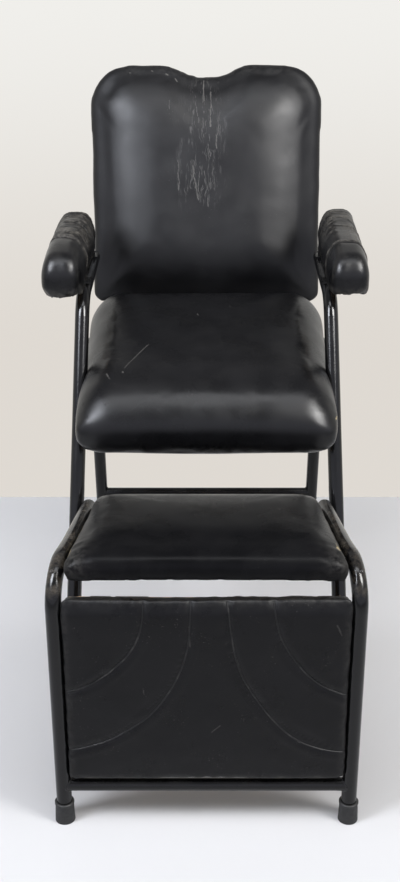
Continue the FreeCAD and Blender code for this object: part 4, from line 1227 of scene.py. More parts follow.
@dataclass
class BackPad(Pad):
    """The backrest's pad, dipped for the neck."""

    def form(self, points: np.ndarray) -> np.ndarray:
        """A wide soft crown, wider at the sides and taller beside the neck dip."""
        x, y, z = points.T
        below_corner = 1.0 - 0.75 * step(y, 385.0, 445.0)
        wider = np.where(x < 0, -(5.4 + 2.2 * step(y, 120.0, 260.0)), 4.6 + step(y, 60.0, 200.0))
        beside_dip = step(y, 380.0, 450.0) * step(np.abs(x), 45.0, 95.0)
        taller = beside_dip * (1.8 + 1.8 * step(x, -40.0, 60.0))
        x = x + wider * step(np.abs(x), 120.0, 215.0) * below_corner
        moved = np.stack([x, y + taller, z], axis=1)
        return self.crowned(moved, (96.0, 96.0, 110.0, 112.0), 0.78)

    def relief(self, points: np.ndarray, normals: np.ndarray) -> Relief:
        """Soft unevenness, faint pulls along the sides, puckers in the dip and cracks below it."""
        x, y, z = points.T
        soft = waves(points, (75.0, 3, 0.9), (26.0, 5, 0.22))
        side = fade(z, 6.0, 46.0)
        pulls = value_noise(points * (1.0, 1.0, 0.0), 21.0, 9) * 0.5 * side
        dip = bell(x, 60.0) * step(y, 415.0, 440.0)
        pulls += value_noise(points * (1.0, 0.25, 0.0), 9.0, 12) * 1.2 * dip
        edge = step(y, 436.0, 452.0) * fade(np.abs(x), 150.0, 190.0) * 0.5
        wear = edge * 0.5 + dip * 0.15 + side * 0.06
        middle = bell(x - 4.0 + (430.0 - y) * 0.10, 34.0)
        cracked = middle * step(y, 170.0, 215.0) * fade(y, 432.0, 446.0)
        return soft + pulls, wear, cracked


@dataclass
class SeatPad(Pad):
    """The thick seat pad."""

    def form(self, points: np.ndarray) -> np.ndarray:
        """A broad roll over the front edge and a soft crown over the sides."""
        x, y, z = points.T
        rolled = 15.0 * np.clip(1.0 - (y - y.min()) / 80.0, 0.0, 1.0) ** 2 * step(z, 30.0, 85.0)
        moved = np.stack([x, y, z - rolled], axis=1)
        return self.crowned(moved, (66.0, 66.0, 120.0, 40.0), 0.78)

    def droop(self, points: np.ndarray) -> np.ndarray:
        """The front hem sags in the middle."""
        x, y, _ = points.T
        return (2.0 + 5.0 * bell(x, 130.0)) * fade(y, y.min() + 20.0, y.min() + 90.0)

    def relief(self, points: np.ndarray, normals: np.ndarray) -> Relief:
        """Gathers round the lower edge, slack pulls at the front corners, and front sides painted
        pale, partly worn and partly a painted reflection of the soft boxes.
        """
        x, y, z = points.T
        soft = waves(points, (80.0, 13, 0.8), (30.0, 15, 0.25))
        low = fade(z, 4.0, 42.0)
        gathers = value_noise(points * (1.0, 1.0, 0.18), 13.0, 19) * 1.5 * low
        gathers = gathers * step(z, 0.0, 9.0)
        corner = step(np.abs(x), 165.0, 215.0) * fade(y, 30.0, 90.0) * fade(z, 60.0, 100.0)
        slack = value_noise(points * (0.5, 1.0, 0.5), 15.0, 23) * 1.6 * corner
        side = step(np.abs(x), 196.0, 216.0) * step(y, 10.0, 60.0) * step(z, 24.0, 60.0)
        # the pale front sides are partly wear and partly a painted reflection of the soft boxes
        wear = side * 0.25 + low * 0.10
        return soft + gathers + slack, wear, np.zeros(len(x))

    def torn(self, points: np.ndarray) -> np.ndarray:
        """A small nick at the right front side."""
        nick = np.linalg.norm((points - (224.0, 36.0, 58.0)) / (8.0, 9.0, 2.6), axis=1)
        return fade(nick, 0.4, 1.2) * 0.9


@dataclass
class LegRestPad(Pad):
    """The leg rest's pad, puckered at its front corners and torn at the right one."""

    def form(self, points: np.ndarray) -> np.ndarray:
        """A soft crown, narrower in front and bowed out at the rear."""
        x, y, z = points.T
        fuller = np.where(z > 0, z * 1.07, z)
        front = fade(y, y.min() + 30.0, y.min() + 160.0)
        narrower = x * (1.0 - 0.014 * front) - 1.2 * front
        arc = np.clip(1.0 - (x / 205.0) ** 2, 0.0, 1.0)
        bowed = y + 7.0 * arc * step(y, y.max() - 90.0, y.max())
        moved = np.stack([narrower, bowed, fuller], axis=1)
        return self.crowned(moved, (52.0, 52.0, 84.0, 60.0), 0.75)

    def droop(self, points: np.ndarray) -> np.ndarray:
        """The hem hangs a little below the board all round."""
        return np.full(len(points), 2.5)

    def relief(self, points: np.ndarray, normals: np.ndarray) -> Relief:
        """Puckers that run up the front corners, soft pulls behind, and rubbed sides."""
        x, y, z = points.T
        soft = waves(points, (70.0, 33, 0.3), (24.0, 35, 0.08))
        gathers = value_noise(points * (1.0, 1.0, 0.1), 11.0, 39) * 1.2 * fade(z, 3.0, 26.0)
        corner = step(np.abs(x), 150.0, 205.0) * fade(y, 25.0, 95.0)
        puckers = value_noise(points * (0.6, 0.9, 0.3), 10.0, 43) * 1.5 * corner
        side = step(np.abs(x), 178.0, 200.0) * step(z, 8.0, 20.0)
        wear = side * 0.45 + corner * 0.25
        return soft + gathers + puckers, wear, np.zeros(len(x))

    def torn(self, points: np.ndarray) -> np.ndarray:
        """A tear at the right front corner and a frayed line along the left side."""
        flat = points[:, :2]
        right = line_distance(flat, np.array([(190.0, 98.0), (197.0, 64.0), (201.0, 46.0)]))
        left = line_distance(flat, np.array([(-200.0, 150.0), (-207.0, 84.0), (-212.0, 40.0)]))
        tears = np.maximum(fade(right, 1.5, 8.5) * 0.95, fade(left, 0.6, 3.6) * 0.75)
        return tears * fade(points[:, 2], 30.0, 42.0)


@dataclass
class FrontPanel(Pad):
    """The upright panel in front of the leg rest, sewn along four curved seams.

    Attributes:
        seams: points along each seam in the panel's own frame.
    """

    seams: tuple[Line, ...] = (
        ((-97, 340), (-98, 313), (-103, 285), (-113, 259), (-128, 236), (-149, 215),
         (-173, 195), (-195, 182), (-219, 174)),
        ((-25, 340), (-25, 300), (-29, 259), (-39, 219), (-56, 180), (-81, 141),
         (-111, 112), (-146, 87), (-177, 72), (-220, 59)),
        ((31, 340), (37, 294), (43, 249), (55, 206), (74, 168), (99, 130),
         (126, 97), (159, 73), (196, 60), (220, 56)),
        ((102, 340), (110, 291), (124, 255), (143, 225), (166, 198), (190, 180), (219, 167)),
    )

    def form(self, points: np.ndarray) -> np.ndarray:
        """Sides that swell in front of the tubes, and a rolled top."""
        x, y, z = points.T
        out = 3.6 * step(np.abs(x), 204.0, 221.0) * step(z, 2.0, 9.0)
        top = 1.0 - 0.42 * step(y, y.max() - 26.0, y.max())
        y = y + 0.8 * np.sin(x / 60.0) * step(y, 280.0, 340.0)
        return np.stack([x + np.sign(x) * out, y, np.where(z > 0, z * top, z)], axis=1)

    def relief(self, points: np.ndarray, normals: np.ndarray) -> Relief:
        """Shallow sewn grooves, soft waves between them, and rubbed edges."""
        x, y, _ = points.T
        flat = points[:, :2]
        front = step(normals[:, 2], 0.2, 0.7)
        moves = waves(points, (50.0, 53, 0.7), (18.0, 55, 0.25))
        near = np.full(len(x), FAR)
        for line in self.seams:
            near = np.minimum(near, line_distance(flat, smooth_line(line)))
        groove = -1.7 * bell(near, 3.4)
        swell = 0.7 * bell(near - 11.0, 6.0)
        moves = moves + front * (groove + swell)
        level = np.maximum(step(y, 326.0, 338.0), fade(y, 4.0, 14.0))
        edge = np.maximum(step(np.abs(x), 208.0, 220.0), level)
        moves += value_noise(points * (1.0, 1.0, 0.1), 12.0, 61) * 0.9 * edge
        return moves, edge * 0.3, bell(near, 9.0)


@dataclass
class ArmPad(Pad):
    """A worn arm pad.

    Attributes:
        ribs: how deep the folds across it are.
        ribs_from: where the folds start along it.
        cracked: where its cracked band lies along it.
        lean: how far its front end has been pushed aside over the years.
        rise: how much fuller its rear is.
        sag: how far its hem hangs at the front.
        crease: where a sharp crease crosses it.
        seed: which folds.
    """

    ribs: float = 1.5
    ribs_from: float = 110.0
    cracked: tuple[float, float] = (60.0, 150.0)
    lean: float = 0.0
    rise: float = 0.0
    sag: float = 2.0
    crease: float = 100.0
    seed: int = 70

    def form(self, points: np.ndarray) -> np.ndarray:
        """A nose that rounds down at the front and leans aside, and a fuller rear."""
        x, y, z = points.T
        near = fade(y, y.min(), y.min() + 240.0)
        nose = fade(y, y.min(), y.min() + 95.0)
        x = x + self.lean * near * step(z, 0.0, 16.0)
        rear = step(y, 120.0, 280.0)
        z = np.where(z > 0, z * (1.08 + self.rise * rear - 0.14 * nose ** 1.3), z)
        y = y + 6.0 * self.rise / 0.15 * step(y, 230.0, 286.0)
        return self.crowned(np.stack([x, y, z], axis=1), (20.0, 20.0, 36.0, 26.0), 0.82)

    def droop(self, points: np.ndarray) -> np.ndarray:
        """The torn hem hangs unevenly, lowest at the outer front corner."""
        x, y, _ = points.T
        outer = step(-x if self.lean < 0 else x, -10.0, 30.0)
        front = fade(y, y.min() + 10.0, y.min() + 110.0)
        ragged = value_noise(points * (1.0, 1.0, 0.1), 9.0, self.seed + 5) * 1.8
        return 1.5 + self.sag * front * (0.55 + 0.45 * outer) + ragged

    def relief(self, points: np.ndarray, normals: np.ndarray) -> Relief:
        """Folds across the top, a ragged lower edge, rubbed and cracked vinyl, and painted
        highlights on the fold ridges and along the crease.
        """
        x, y, z = points.T
        soft = value_noise(points, 36.0, self.seed) * 0.9
        bent = y + value_noise(points, 26.0, self.seed + 1) * 7.0 + 0.12 * x
        lines = value_noise(np.stack([x * 0.22, bent, z * 0.15], axis=1), 9.5, self.seed + 2)
        ridged = np.maximum(1.0 - 2.8 * np.abs(lines), -0.6)
        start, end = self.cracked
        behind = step(y, self.ribs_from - 25.0, self.ribs_from + 20.0)
        zone = behind * (1.0 - step(y, 270.0, 286.0) * 0.4)
        folds = ridged * self.ribs * zone * step(z, 14.0, 40.0)
        low = fade(z, 2.0, 16.0)
        ragged = value_noise(points * (1.0, 1.0, 0.1), 11.0, self.seed + 3) * 2.0 * low
        crease = bell(bent - self.crease, 2.6)
        across = step(z, 6.0, 26.0)
        pinch = (1.6 * crease - 1.8 * bell(bent - self.crease + 6.0, 4.0)) * across
        upward = step(normals[:, 2], -0.1, 0.8)
        # the top is rubbed; the paler fold ridges on it are painted highlights
        wear = zone * (0.25 + 0.6 * step(ridged, -0.2, 0.9)) * upward + low * 0.3
        # a painted highlight along the crease
        wear = np.maximum(wear, crease * across * 0.9)
        band = step(y, start, start + 30.0) * fade(y, end - 30.0, end)
        band = band * step(x, -12.0, 16.0) * step(z, 12.0, 30.0)
        return soft + folds + ragged + pinch, wear, band


@dataclass
class SeamWelts:
    """The thin sewn welts that lie in the front panel's seams.

    Attributes:
        panel: the panel they are sewn in.
        radius: their radius.
        sink: how deep their middles lie below the vinyl.
        side: how far from the middle they end.
        top: how high they end.
    """

    panel: FrontPanel
    radius: float = 1.5
    sink: float = 0.5
    side: float = 219.0
    top: float = 336.0

    def make(self, face: bpy.types.Object, effects: Effects) -> bpy.types.Object:
        """Lay a round welt along each seam on the finished panel.

        Args:
            face: the finished panel.
            effects: the shared effect groups.

        Returns:
            The welts as one piece.
        """
        corners = [v.co for v in face.data.vertices]
        tree = BVHTree.FromPolygons(corners, [p.vertices for p in face.data.polygons])
        place = self.panel.place
        matrix = place.matrix()
        outward = (matrix.to_3x3() @ Vector((0.0, 0.0, 1.0))).normalized()
        curve = bpy.data.curves.new("seam_welts", "CURVE")
        curve.dimensions = "3D"
        curve.bevel_depth = self.radius * MM
        curve.bevel_resolution = 2
        curve.use_fill_caps = True
        for line in self.panel.seams:
            path = []
            for x, y in smooth_line(line, 14):
                if abs(x) > self.side or y > self.top:
                    continue
                start = matrix @ Vector((x * MM, y * MM, 0.06))
                spot = tree.ray_cast(start, -outward)[0]
                if spot is not None:
                    path.append(spot - outward * self.sink * MM)
            spline = curve.splines.new("POLY")
            spline.points.add(len(path) - 1)
            for point, spot in zip(spline.points, path):
                point.co = (*spot, 1.0)
        holder = link("seam_welts", curve)
        choose(holder)
        bpy.ops.object.convert(target="MESH")
        points = read_points(holder.data)
        paint(holder.data, "wear", step(value_noise(points, 14.0, 131), 0.0, 0.6))
        vinyl = VinylFinish("welt_vinyl", place, colour=(0.006, 0.006, 0.0064), rough=0.36,
                            specular=0.3, rub=0.35, dust=0.05, grain=0.05)
        coat(holder, vinyl.build(effects))
        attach(holder, self.panel.body.value)
        return holder


# ---------------------------------------------------------------- small hard pieces

HEAD_STEPS = ((0.30, 1.0), (0.34, 0.88), (0.24, 0.76), (0.12, 0.62))   # climb and width of each


@dataclass
class DomedHeads:
    """Round domed heads: tacks, or screws with a recess.

    Attributes:
        name: what they are called.
        body: the body they ride on.
        slot: the record's slot; not used.
        radius: their radius.
        rise: how high they stand.
        recess: the radius of a recess in each, or zero.
        spots: where they sit, in metres in the shared frame.
        facing: which way each faces.
    """

    name: str
    body: Body
    slot: Slot
    radius: float
    rise: float
    recess: float
    spots: list[Vector]
    facing: list[Vector]

    def model(self) -> bpy.types.Object:
        """Shape one head from a disc: a wall, three narrowing steps and any recess."""
        deselect()
        bpy.ops.mesh.primitive_circle_add(vertices=18, radius=self.radius * MM, fill_type="NGON")
        head = bpy.context.object
        bpy.ops.object.mode_set(mode="EDIT")
        bpy.ops.mesh.select_all(action="SELECT")
        for climb, width in HEAD_STEPS:
            self._extrude(climb, width)
        if self.recess:
            inset = max(self.radius * 0.5 - self.recess, 0.2)
            bpy.ops.mesh.inset(thickness=inset * MM, depth=0.0)
            self._extrude(-0.45, 0.7)
        bpy.ops.mesh.select_all(action="SELECT")
        bpy.ops.mesh.normals_make_consistent(inside=False)
        bpy.ops.object.mode_set(mode="OBJECT")
        return head

    def _extrude(self, climb: float, width: float) -> None:
        """Extrude the chosen face by a share of the rise and scale it about the middle."""
        way = (0.0, 0.0, self.rise * climb * MM)
        bpy.ops.mesh.extrude_region_move(TRANSFORM_OT_translate={"value": way})
        bpy.ops.transform.resize(value=(width, width, 1.0), center_override=(0.0, 0.0, 0.0))

    def make(self, material: bpy.types.Material) -> bpy.types.Object:
        """Copy the head to every spot and join the copies.

        Args:
            material: its finish.

        Returns:
            The heads as one piece.
        """
        first = self.model()
        copies = []
        for spot, way in zip(self.spots, self.facing):
            mesh = first.data.copy()
            turn = way.to_track_quat("Z", "Y").to_matrix().to_4x4()
            mesh.transform(Matrix.Translation(spot) @ turn)
            copies.append(link(self.name, mesh))
        bpy.data.objects.remove(first)
        piece = join(copies, self.name)
        coat(piece, material)
        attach(piece, self.body.value)
        return piece


@dataclass
class WeldBeads:
    """Painted weld beads where a cross bar meets its two upright tubes.

    Attributes:
        bar: the frame node of the bar.
        body: the body they ride on.
        bar_radius: the bar's radius.
        half_spread: how far the upright tubes' middles lie from the chair's middle.
        tube_radius: the upright tubes' radius.
        bead: the bead's own radius.
        wrap: how far across the upright tube a bead still follows it.
    """

    bar: str
    body: Body
    bar_radius: float
    half_spread: float
    tube_radius: float = 12.7
    bead: float = 1.9
    wrap: float = 11.5

    def make(self, material: bpy.types.Material) -> bpy.types.Object:
        """Bend a lumpy ring round each end of the bar, along the saddle between the tubes.

        Args:
            material: its finish.

        Returns:
            Both beads as one piece.
        """
        low, high = (np.array(corner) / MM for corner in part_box(self.bar))
        middle = (low + high) / 2
        rings = []
        for side in (-1.0, 1.0):
            deselect()
            bpy.ops.mesh.primitive_torus_add(
                major_radius=self.bar_radius * MM, minor_radius=self.bead * MM,
                major_segments=56, minor_segments=10, rotation=(0.0, math.radians(90), 0.0))
            ring = bpy.context.object
            bpy.ops.object.transform_apply(location=False, rotation=True, scale=True)
            points = read_points(ring.data)
            around = np.arctan2(points[:, 2], points[:, 1])
            lumps = 1.0 + 0.10 * np.sin(around * 17.0) + 0.12 * value_noise(points, 5.0, 151)
            circle = np.stack([0.0 * around, np.cos(around), np.sin(around)], axis=1)
            centre = self.bar_radius * circle
            points = centre + (points - centre) * lumps[:, None]
            off = np.clip(points[:, 1], -self.wrap, self.wrap)
            reach = np.sqrt(np.maximum(self.tube_radius ** 2 - off ** 2, 1.0))
            points[:, 0] += side * (self.half_spread - reach)
            points[:, 1:] += middle[1:]
            write_points(ring.data, points)
            rings.append(ring)
        piece = join(rings, self.bar + "_weld_beads")
        coat(piece, material)
        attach(piece, self.body.value)
        return piece


def cover_tacks(cover: str, place: Place, inset: float,
                pitch: float) -> tuple[list[Vector], list[Vector]]:
    """Places for tacks round the rim of the back's rear cover.

    Args:
        cover: the cover's frame node.
        place: the back's own frame.
        inset: how far in from the rim they sit.
        pitch: how far apart they are.

    Returns:
        Each tack's place and the way it faces.
    """
    rim = Outline(cover, place)
    ring = np.vstack([rim.points, rim.points[:1]])
    lengths = np.linalg.norm(np.diff(ring, axis=0), axis=1)
    run = np.concatenate([[0.0], np.cumsum(lengths)])
    count = int(run[-1] / pitch)
    at = np.linspace(0.0, run[-1], count, endpoint=False)
    spots = np.stack([np.interp(at, run, ring[:, 0]), np.interp(at, run, ring[:, 1])], axis=1)
    inward = ring.mean(axis=0) - spots
    inward /= np.linalg.norm(inward, axis=1)[:, None]
    spots = spots + inward * inset
    matrix = place.matrix()
    rear = (matrix.to_3x3() @ Vector((0.0, 0.0, -1.0))).normalized()
    places = [matrix @ (Vector((*spot, rim.low)) * MM) for spot in spots]
    return places, [rear] * len(places)


# ---------------------------------------------------------------- frame finishes


@dataclass(frozen=True)
class FrameFinishes:
    """Which finish each frame node gets, by a word in its name.

    Attributes:
        paint: the tubes and every node that no word picks.
        rubber: the feet.
        plastic: the knobs and tube plugs.
        zinc: the fasteners.
        plywood: the boards.
        cover: the back's rear cover.
    """

    paint: PaintFinish = PaintFinish("gloss_black_paint")
    rubber: RubberFinish = RubberFinish("black_rubber")
    plastic: RubberFinish = RubberFinish("black_plastic", rough=0.34, dust=0.14)
    zinc: ZincFinish = ZincFinish("zinc_plate")
    plywood: PlywoodFinish = PlywoodFinish("plywood")
    cover: VinylFinish = VinylFinish("rear_cover_vinyl", BACK_FACE, rough=0.46, dust=0.06)

    def dress(self, effects: Effects, replaced: set[str]) -> None:
        """Give every frame node that stays its material.

        Args:
            effects: the shared effect groups.
            replaced: nodes that pads stand for.
        """
        tube_paint = self.paint.build(effects)
        by_word = (
            (("foot",), self.rubber.build(effects)),
            (("knob", "plugs"), self.plastic.build(effects)),
            (("screws", "bolts", "nuts", "washers", "studs", "spacers"), self.zinc.build(effects)),
            (("board",), self.plywood.build(effects)),
            (("rear_cover",), self.cover.build(effects)),
        )
        for name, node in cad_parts.items():
            if name in replaced:
                continue
            fitting = (made for words, made in by_word if any(word in name for word in words))
            material = next(fitting, tube_paint)
            for socket in node.material_slots:
                socket.material = material
            log.info("%s is finished in %s", name, material.name)


# ---------------------------------------------------------------- studio

LAMP_AIM = Vector((0.0, 0.1, 0.75))


@dataclass(frozen=True)
class Lamp:
    """A soft box.

    Attributes:
        name: what it is called.
        azimuth: its direction from the front, positive to the right, in degrees.
        elevation: its height above the horizon, in degrees.
        distance: how far it is from the chair, in metres.
        width: its width in metres.
        height: its height in metres.
        glow: how bright its face is.
        colour: its colour.
        reflected: whether glossy surfaces show it.
        matt: whether it lights matt surfaces too.
    """

    name: str
    azimuth: float
    elevation: float
    distance: float
    width: float
    height: float
    glow: float
    colour: Colour = (1.0, 1.0, 1.0)
    reflected: bool = True
    matt: bool = True

    def place(self) -> None:
        """Add the lamp, turned to the chair."""
        turn, lift = math.radians(self.azimuth), math.radians(self.elevation)
        level = math.cos(lift)
        way = Vector((math.sin(turn) * level, -math.cos(turn) * level, math.sin(lift)))
        lamp = bpy.data.lights.new(self.name, "AREA")
        lamp.shape = "RECTANGLE"
        lamp.size, lamp.size_y = self.width, self.height
        lamp.energy = self.glow * math.pi * self.width * self.height
        lamp.color = self.colour
        holder = link(self.name, lamp)
        holder.location = LAMP_AIM + way * self.distance
        holder.rotation_euler = way.to_track_quat("Z", "Y").to_euler()
        holder.visible_glossy = self.reflected
        holder.visible_diffuse = self.matt


@dataclass(frozen=True)
class Studio:
    """The pale floor, the warm off-white wall light, the soft boxes and the camera.

    Attributes:
        floor_end: the depth at which the wall starts.
        floor_size: the floor's width and depth, in metres.
        floor_drop: how far the floor lies below the feet, in metres.
        floor_front: its colour in front of the chair.
        floor_painted_light: how much lighter it is painted behind the leg rest, painted light
            where the chair's shadow falls.
        floor_rear: its colour where the wall starts.
        fill: how strongly the room lights matt surfaces.
        wall: the wall's colour low down and high up.
        room: the colour behind the camera.
        ceiling: the colour overhead.
        lens: the camera's focal length in millimetres.
        shift: its sideways shift.
        eye: where it stands, in metres.
        tilt: its angle from straight down, in degrees.
        lamps: the soft boxes.
    """

    floor_end: float = 1160.0
    floor_size: tuple[float, float] = (9.0, 6.0)
    floor_drop: float = 0.0004
    floor_front: Colour = (0.74, 0.74, 0.755)
    floor_painted_light: float = 1.27
    floor_rear: Colour = (0.985, 0.94, 0.88)
    fill: float = 0.28
    wall: tuple[Colour, Colour] = ((0.735, 0.695, 0.645), (0.875, 0.865, 0.835))
    room: Colour = (0.98, 1.0, 1.14)
    ceiling: Colour = (0.32, 0.32, 0.34)
    lens: float = 51.67
    shift: float = -0.0075
    eye: tuple[float, float, float] = (0.0, -2.115, 1.465)
    tilt: float = 65.0
    lamps: tuple[Lamp, ...] = (
        Lamp("left_soft_box", -47.0, 33.0, 2.3, 0.7, 1.0, 15.5, (0.90, 0.93, 1.0)),
        Lamp("right_soft_box", 47.0, 33.0, 2.3, 0.7, 1.0, 14.0, (1.0, 0.99, 0.98)),
        Lamp("high_soft_box", 0.0, 68.0, 2.4, 1.5, 0.6, 4.6, (0.96, 0.97, 1.0)),
        Lamp("left_sheen", -45.0, 40.0, 2.3, 0.9, 1.0, 19.0, (0.88, 0.92, 1.0), matt=False),
        Lamp("right_sheen", 45.0, 40.0, 2.3, 0.9, 1.0, 21.5, (1.0, 0.99, 0.97), matt=False),
        Lamp("high_sheen", 0.0, 70.0, 2.4, 2.6, 0.5, 1.6, (0.94, 0.96, 1.0), matt=False),
        Lamp("soft_ceiling", 0.0, 66.0, 3.2, 3.4, 2.4, 1.2, reflected=False),
    )

    def build(self) -> None:
        """Set up the floor, the light and the camera."""
        self._floor()
        self._world()
        for lamp in self.lamps:
            lamp.place()
        self._camera()
        bpy.context.scene.view_settings.view_transform = "Standard"

    def _floor(self) -> None:
        """A wide pale sheet that ends where the wall starts, painted lighter behind the leg rest
        where the chair's shadow falls.
        """
        deselect()
        wide, deep = self.floor_size
        middle = (self.floor_end - DEPTH_SHIFT) * MM - deep / 2
        bpy.ops.mesh.primitive_plane_add(size=1.0)
        floor = bpy.context.object
        floor.name = "floor"
        floor.data.transform(Matrix.Diagonal((wide, deep, 1.0, 1.0)))
        floor.data.transform(Matrix.Translation((0.0, middle, -self.floor_drop)))
        surface = Surface("floor", CHAIR_FRAME)
        graph = surface.graph
        depth = graph.part(surface.where, 1)
        # painted light: the floor is painted lighter behind the leg rest, under the chair, where
        # its shadow falls
        lighter = tuple(c * self.floor_painted_light for c in self.floor_front)
        colour = graph.mix(graph.ramp(depth, -200.0, 500.0), self.floor_front, lighter)
        colour = graph.mix(graph.ramp(depth, 900.0, self.floor_end), colour, self.floor_rear)
        feeds = {"Base Color": colour, "Roughness": 0.6, "Specular IOR Level": 0.2}
        floor.data.materials.append(surface.finish(feeds))

    def _world(self) -> None:
        """Off-white all round for the camera and mirrors, and a weaker fill for matt surfaces."""
        world = bpy.data.worlds.new("room")
        bpy.context.scene.world = world
        world.use_nodes = True
        graph = Graph(world.node_tree)
        world.node_tree.nodes.clear()
        way = graph.add("ShaderNodeTexCoord").outputs["Generated"]
        up, behind = graph.part(way, 2), graph.part(way, 1)
        wall = graph.mix(graph.ramp(up, -0.36, -0.08), *self.wall)
        wall = graph.mix(graph.ramp(behind, 0.05, -0.35), wall, self.room)
        wall = graph.mix(graph.ramp(up, 0.34, 0.75), wall, self.ceiling)
        path = graph.add("ShaderNodeLightPath").outputs
        bounced = graph.most(path["Is Glossy Ray"], path["Is Transmission Ray"])
        seen = graph.most(path["Is Camera Ray"], bounced)
        white = (1.0, 1.0, 1.0, 1.0)
        fill = graph.add("ShaderNodeBackground", {"Color": white, "Strength": self.fill})
        shown = graph.add("ShaderNodeBackground", {"Color": wall, "Strength": 1.0})
        both = graph.add("ShaderNodeMixShader", {0: seen})
        world.node_tree.links.new(fill.outputs[0], both.inputs[1])
        world.node_tree.links.new(shown.outputs[0], both.inputs[2])
        out = graph.add("ShaderNodeOutputWorld")
        world.node_tree.links.new(both.outputs[0], out.inputs[0])

    def _camera(self) -> None:
        """The camera in front, looking down at the chair."""
        camera = bpy.data.cameras.new("camera")
        camera.lens = self.lens
        camera.sensor_width = 36.0
        camera.shift_x = self.shift
        holder = link("camera", camera)
        holder.location = self.eye
        holder.rotation_euler = (math.radians(self.tilt), 0.0, 0.0)
        bpy.context.scene.camera = holder


# ---------------------------------------------------------------- the chair

BACK_MARKS = (
    Mark((-6, 432), (-5, 392), 1.7, 0.6, 0.8, 5.0),
    Mark((8, 411), (8, 341), 1.6, 0.6, 0.8, 9.0),
    Mark((-55, 277), (-55, 220), 1.3, 0.5, 0.55, 8.0),
    Mark((-28, 267), (-16, 199), 1.4, 0.5, 0.75, 10.0),
    Mark((19, 325), (19, 300), 1.3, 0.5, 0.7, 6.0),
    Mark((24, 345), (22, 325), 1.2, 0.4, 0.6, 6.0),
    Mark((-73, 392), (-72, 376), 1.1, 0.4, 0.4, 5.0),
    Mark((-19, 380), (-18, 362), 1.2, 0.4, 0.5, 6.0),
    Mark((2, 204), (3, 188), 1.3, 0.4, 0.6, 5.0),
    Mark((-151, 447), (-149, 447), 1.8, 0.3, 0.9, 1.0),
    Mark((-108, 451), (-106, 450), 1.6, 0.3, 0.9, 1.0),
    Mark((-80, 445), (-76, 443), 1.8, 0.3, 0.9, 1.0),
    Mark((-62, 436), (-58, 430), 1.8, 0.3, 0.8, 1.5),
)
SEAT_MARKS = (
    Mark((-103.5, 188), (-142, 108), 1.6, 0.3, 0.5, 2.5),
    Mark((-173, 94), (-167, 80), 2.2, 0.3, 0.6, 2.0),
    Mark((-145, 96), (-144, 94), 2.4, 0.2, 0.8, 1.0),
    Mark((68, -49), (67, -53), 2.4, 0.2, 0.6, 1.0),
    Mark((-18, 307), (-16, 303), 2.2, 0.2, 0.5, 1.0),
    Mark((44, 341), (45, 338), 2.2, 0.2, 0.5, 1.0),
)
LEG_MARKS = (
    Mark((118, 196), (120, 180), 1.3, 0.3, 0.35, 3.0),
    Mark((-196, 128), (-203, 70), 1.8, 0.4, 0.45, 5.0),
)
PANEL_MARKS = (
    Mark((8, 99), (21, 112), 1.4, 0.3, 0.4, 2.0),
    Mark((-98, 180), (-98, 172), 1.6, 0.3, 0.4),
    Mark((133, 92), (150, 78), 1.8, 0.2, 0.7, 2.0),
    Mark((47, 236), (53, 212), 1.6, 0.2, 0.45, 3.0),
    Mark((-27, 296), (-26, 262), 2.0, 0.2, 0.4, 3.0),
    Mark((-98, 316), (-100, 298), 1.6, 0.2, 0.4, 2.0),
    Mark((200, 300), (208, 282), 2.2, 0.4, 0.35, 4.0),
)
BEND_SCREW = (236.5, 18.4, 466.7)          # across, depth and height
BEND_SCREW_WAY = Vector((0.0, -0.574, 0.819))


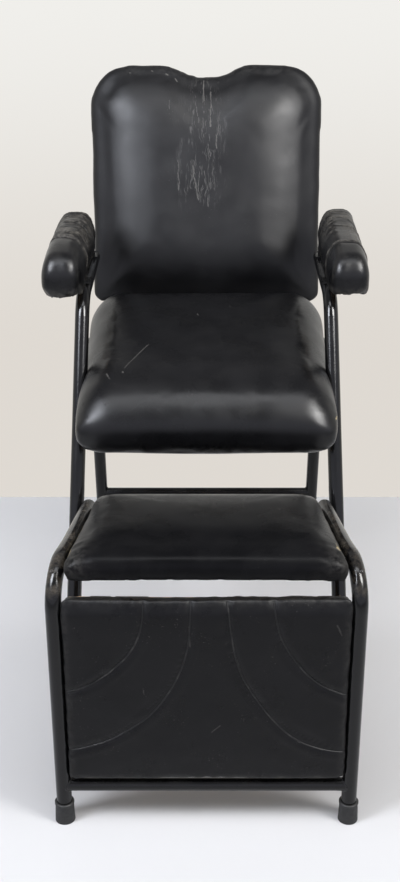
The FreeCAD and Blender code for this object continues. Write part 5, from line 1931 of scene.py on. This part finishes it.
@dataclass
class Chair:
    """All the padded pieces of the chair and the leg rest.

    Attributes:
        front_legs: the front legs beside the seat, as runs in the maker's frame.
        leg_rails: the leg rest's rails beside its pad.
        leg_posts: the leg rest's uprights beside its front panel.
        pads: the pads, once they are planned.
    """

    front_legs: tuple = (
        ((-241.7, 130.0, 0.0), (-220.4, 499.0, 747.0)),
        ((241.7, 130.0, 0.0), (220.4, 499.0, 747.0)),
    )
    leg_rails: tuple = (
        ((-235.6, 0.0, 477.5), (-220.0, 115.0, 459.3)),
        ((-220.0, 115.0, 459.3), (-205.0, 299.0, 430.1)),
        ((235.6, 0.0, 477.5), (220.0, 115.0, 459.3)),
        ((220.0, 115.0, 459.3), (205.0, 299.0, 430.1)),
    )
    leg_posts: tuple = (
        ((-235.6, 0.0, 30.0), (-235.6, 0.0, 420.0)),
        ((235.6, 0.0, 30.0), (235.6, 0.0, 420.0)),
    )
    pads: list = field(default_factory=list)

    def plan(self) -> None:
        """List the pads with their finishes."""
        back = VinylFinish("back_vinyl", BACK_FACE, rough=0.37, dust=0.03, hair=0.55,
                           marks=BACK_MARKS)
        seat = VinylFinish("seat_vinyl", SEAT_FACE, rough=0.28, dust=0.03, marks=SEAT_MARKS)
        leg = VinylFinish("leg_rest_vinyl", LEG_FACE, rough=0.27, specular=0.075, dust=0.02,
                          marks=LEG_MARKS)
        panel = VinylFinish("panel_vinyl", PANEL_FACE, rough=0.34, specular=0.17, dust=0.07,
                            grain=0.26, patches=0.34, mottle=0.14, specks=0.9, marks=PANEL_MARKS)
        # the arms' pale worn colour also paints highlights on their fold ridges and crease
        left = VinylFinish("left_arm_vinyl", LEFT_ARM_FACE, rough=0.28, worn=(0.15, 0.138, 0.12),
                           rub=0.85, dust=0.14)
        right = replace(left, name="right_arm_vinyl", place=RIGHT_ARM_FACE, crackle=0.9, hair=0.9)
        self.pads = [
            BackPad("back_cushion", "back_board", Body.BACK, BACK_FACE, back, cap=2.5,
                    softness=16.0),
            SeatPad("seat_cushion", "seat_board", Body.CHAIR, SEAT_FACE, seat, cap=3.0,
                    tubes=self.front_legs, floor=-3.0, softness=21.0),
            LegRestPad("leg_rest_pad", "leg_rest_board", Body.LEG_REST, LEG_FACE, leg, voxel=5.0,
                       cap=2.0, tubes=self.leg_rails, softness=16.0),
            FrontPanel("front_panel_pad", "front_panel_board", Body.LEG_REST, PANEL_FACE, panel,
                       voxel=4.0, floor=-11.2, cap=1.2, shrink=0.5, softness=5.0,
                       tubes=self.leg_posts),
            ArmPad("left_arm_pad", "left_arm_board", Body.CHAIR, LEFT_ARM_FACE, left,
                   voxel=4.0, cap=1.8, shrink=1.0, softness=7.0, ribs=2.6, ribs_from=100.0,
                   cracked=(40.0, 130.0), lean=-7.0, rise=0.04, sag=8.0, crease=104.0, seed=70),
            ArmPad("right_arm_pad", "right_arm_board", Body.CHAIR, RIGHT_ARM_FACE, right,
                   voxel=4.0, cap=1.8, shrink=1.0, softness=7.0, ribs=1.3, ribs_from=150.0,
                   cracked=(70.0, 200.0), lean=2.0, rise=0.13, sag=2.0, crease=82.0, seed=90),
        ]

    def build(self, effects: Effects) -> set[str]:
        """Make every pad.

        Args:
            effects: the shared effect groups.

        Returns:
            The frame nodes that the pads stand for.
        """
        self.plan()
        for pad in self.pads:
            piece = pad.make(effects)
            log.info("%s has %d faces", piece.name, len(piece.data.polygons))
            if isinstance(pad, FrontPanel):
                SeamWelts(pad).make(piece, effects)
        self.trim(effects)
        return {pad.node for pad in self.pads}

    def trim(self, effects: Effects) -> None:
        """Add the weld beads, the tacks and the side screws.

        Args:
            effects: the shared effect groups.
        """
        bead = PaintFinish("weld_paint", rough=0.24, chips=0.04).build(effects)
        WeldBeads("rear_stretcher", Body.CHAIR, 9.5, 235.0).make(bead)
        WeldBeads("leg_rest_lower_bar", Body.LEG_REST, 11.0, 235.6).make(bead)
        steel = ZincFinish("dull_screw", colour=(0.20, 0.20, 0.19), dull=(0.10, 0.095, 0.09))
        spots, ways = cover_tacks("back_rear_cover", BACK_FACE, 7.0, 26.0)
        tacks = DomedHeads("back_cover_tacks", Body.BACK, Slot.ZINC, 4.2, 2.2, 0.0, spots, ways)
        tacks.make(steel.build(effects))
        across, depth, height = BEND_SCREW
        bends = [Vector((side * across, depth - DEPTH_SHIFT, height)) * MM for side in (-1.0, 1.0)]
        DomedHeads("leg_rest_bend_screws", Body.LEG_REST, Slot.ZINC, 3.6, 2.0, 1.3, bends,
                   [BEND_SCREW_WAY] * 2).make(bead)


def main() -> None:
    """Build the studio and the chair, and report each piece."""
    logging.basicConfig(level=logging.INFO, format="%(message)s")
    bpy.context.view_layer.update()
    Studio().build()
    effects = Effects()
    replaced = Chair().build(effects)
    FrameFinishes().dress(effects, replaced)
    deselect()


if __name__ == "__main__":
    main()
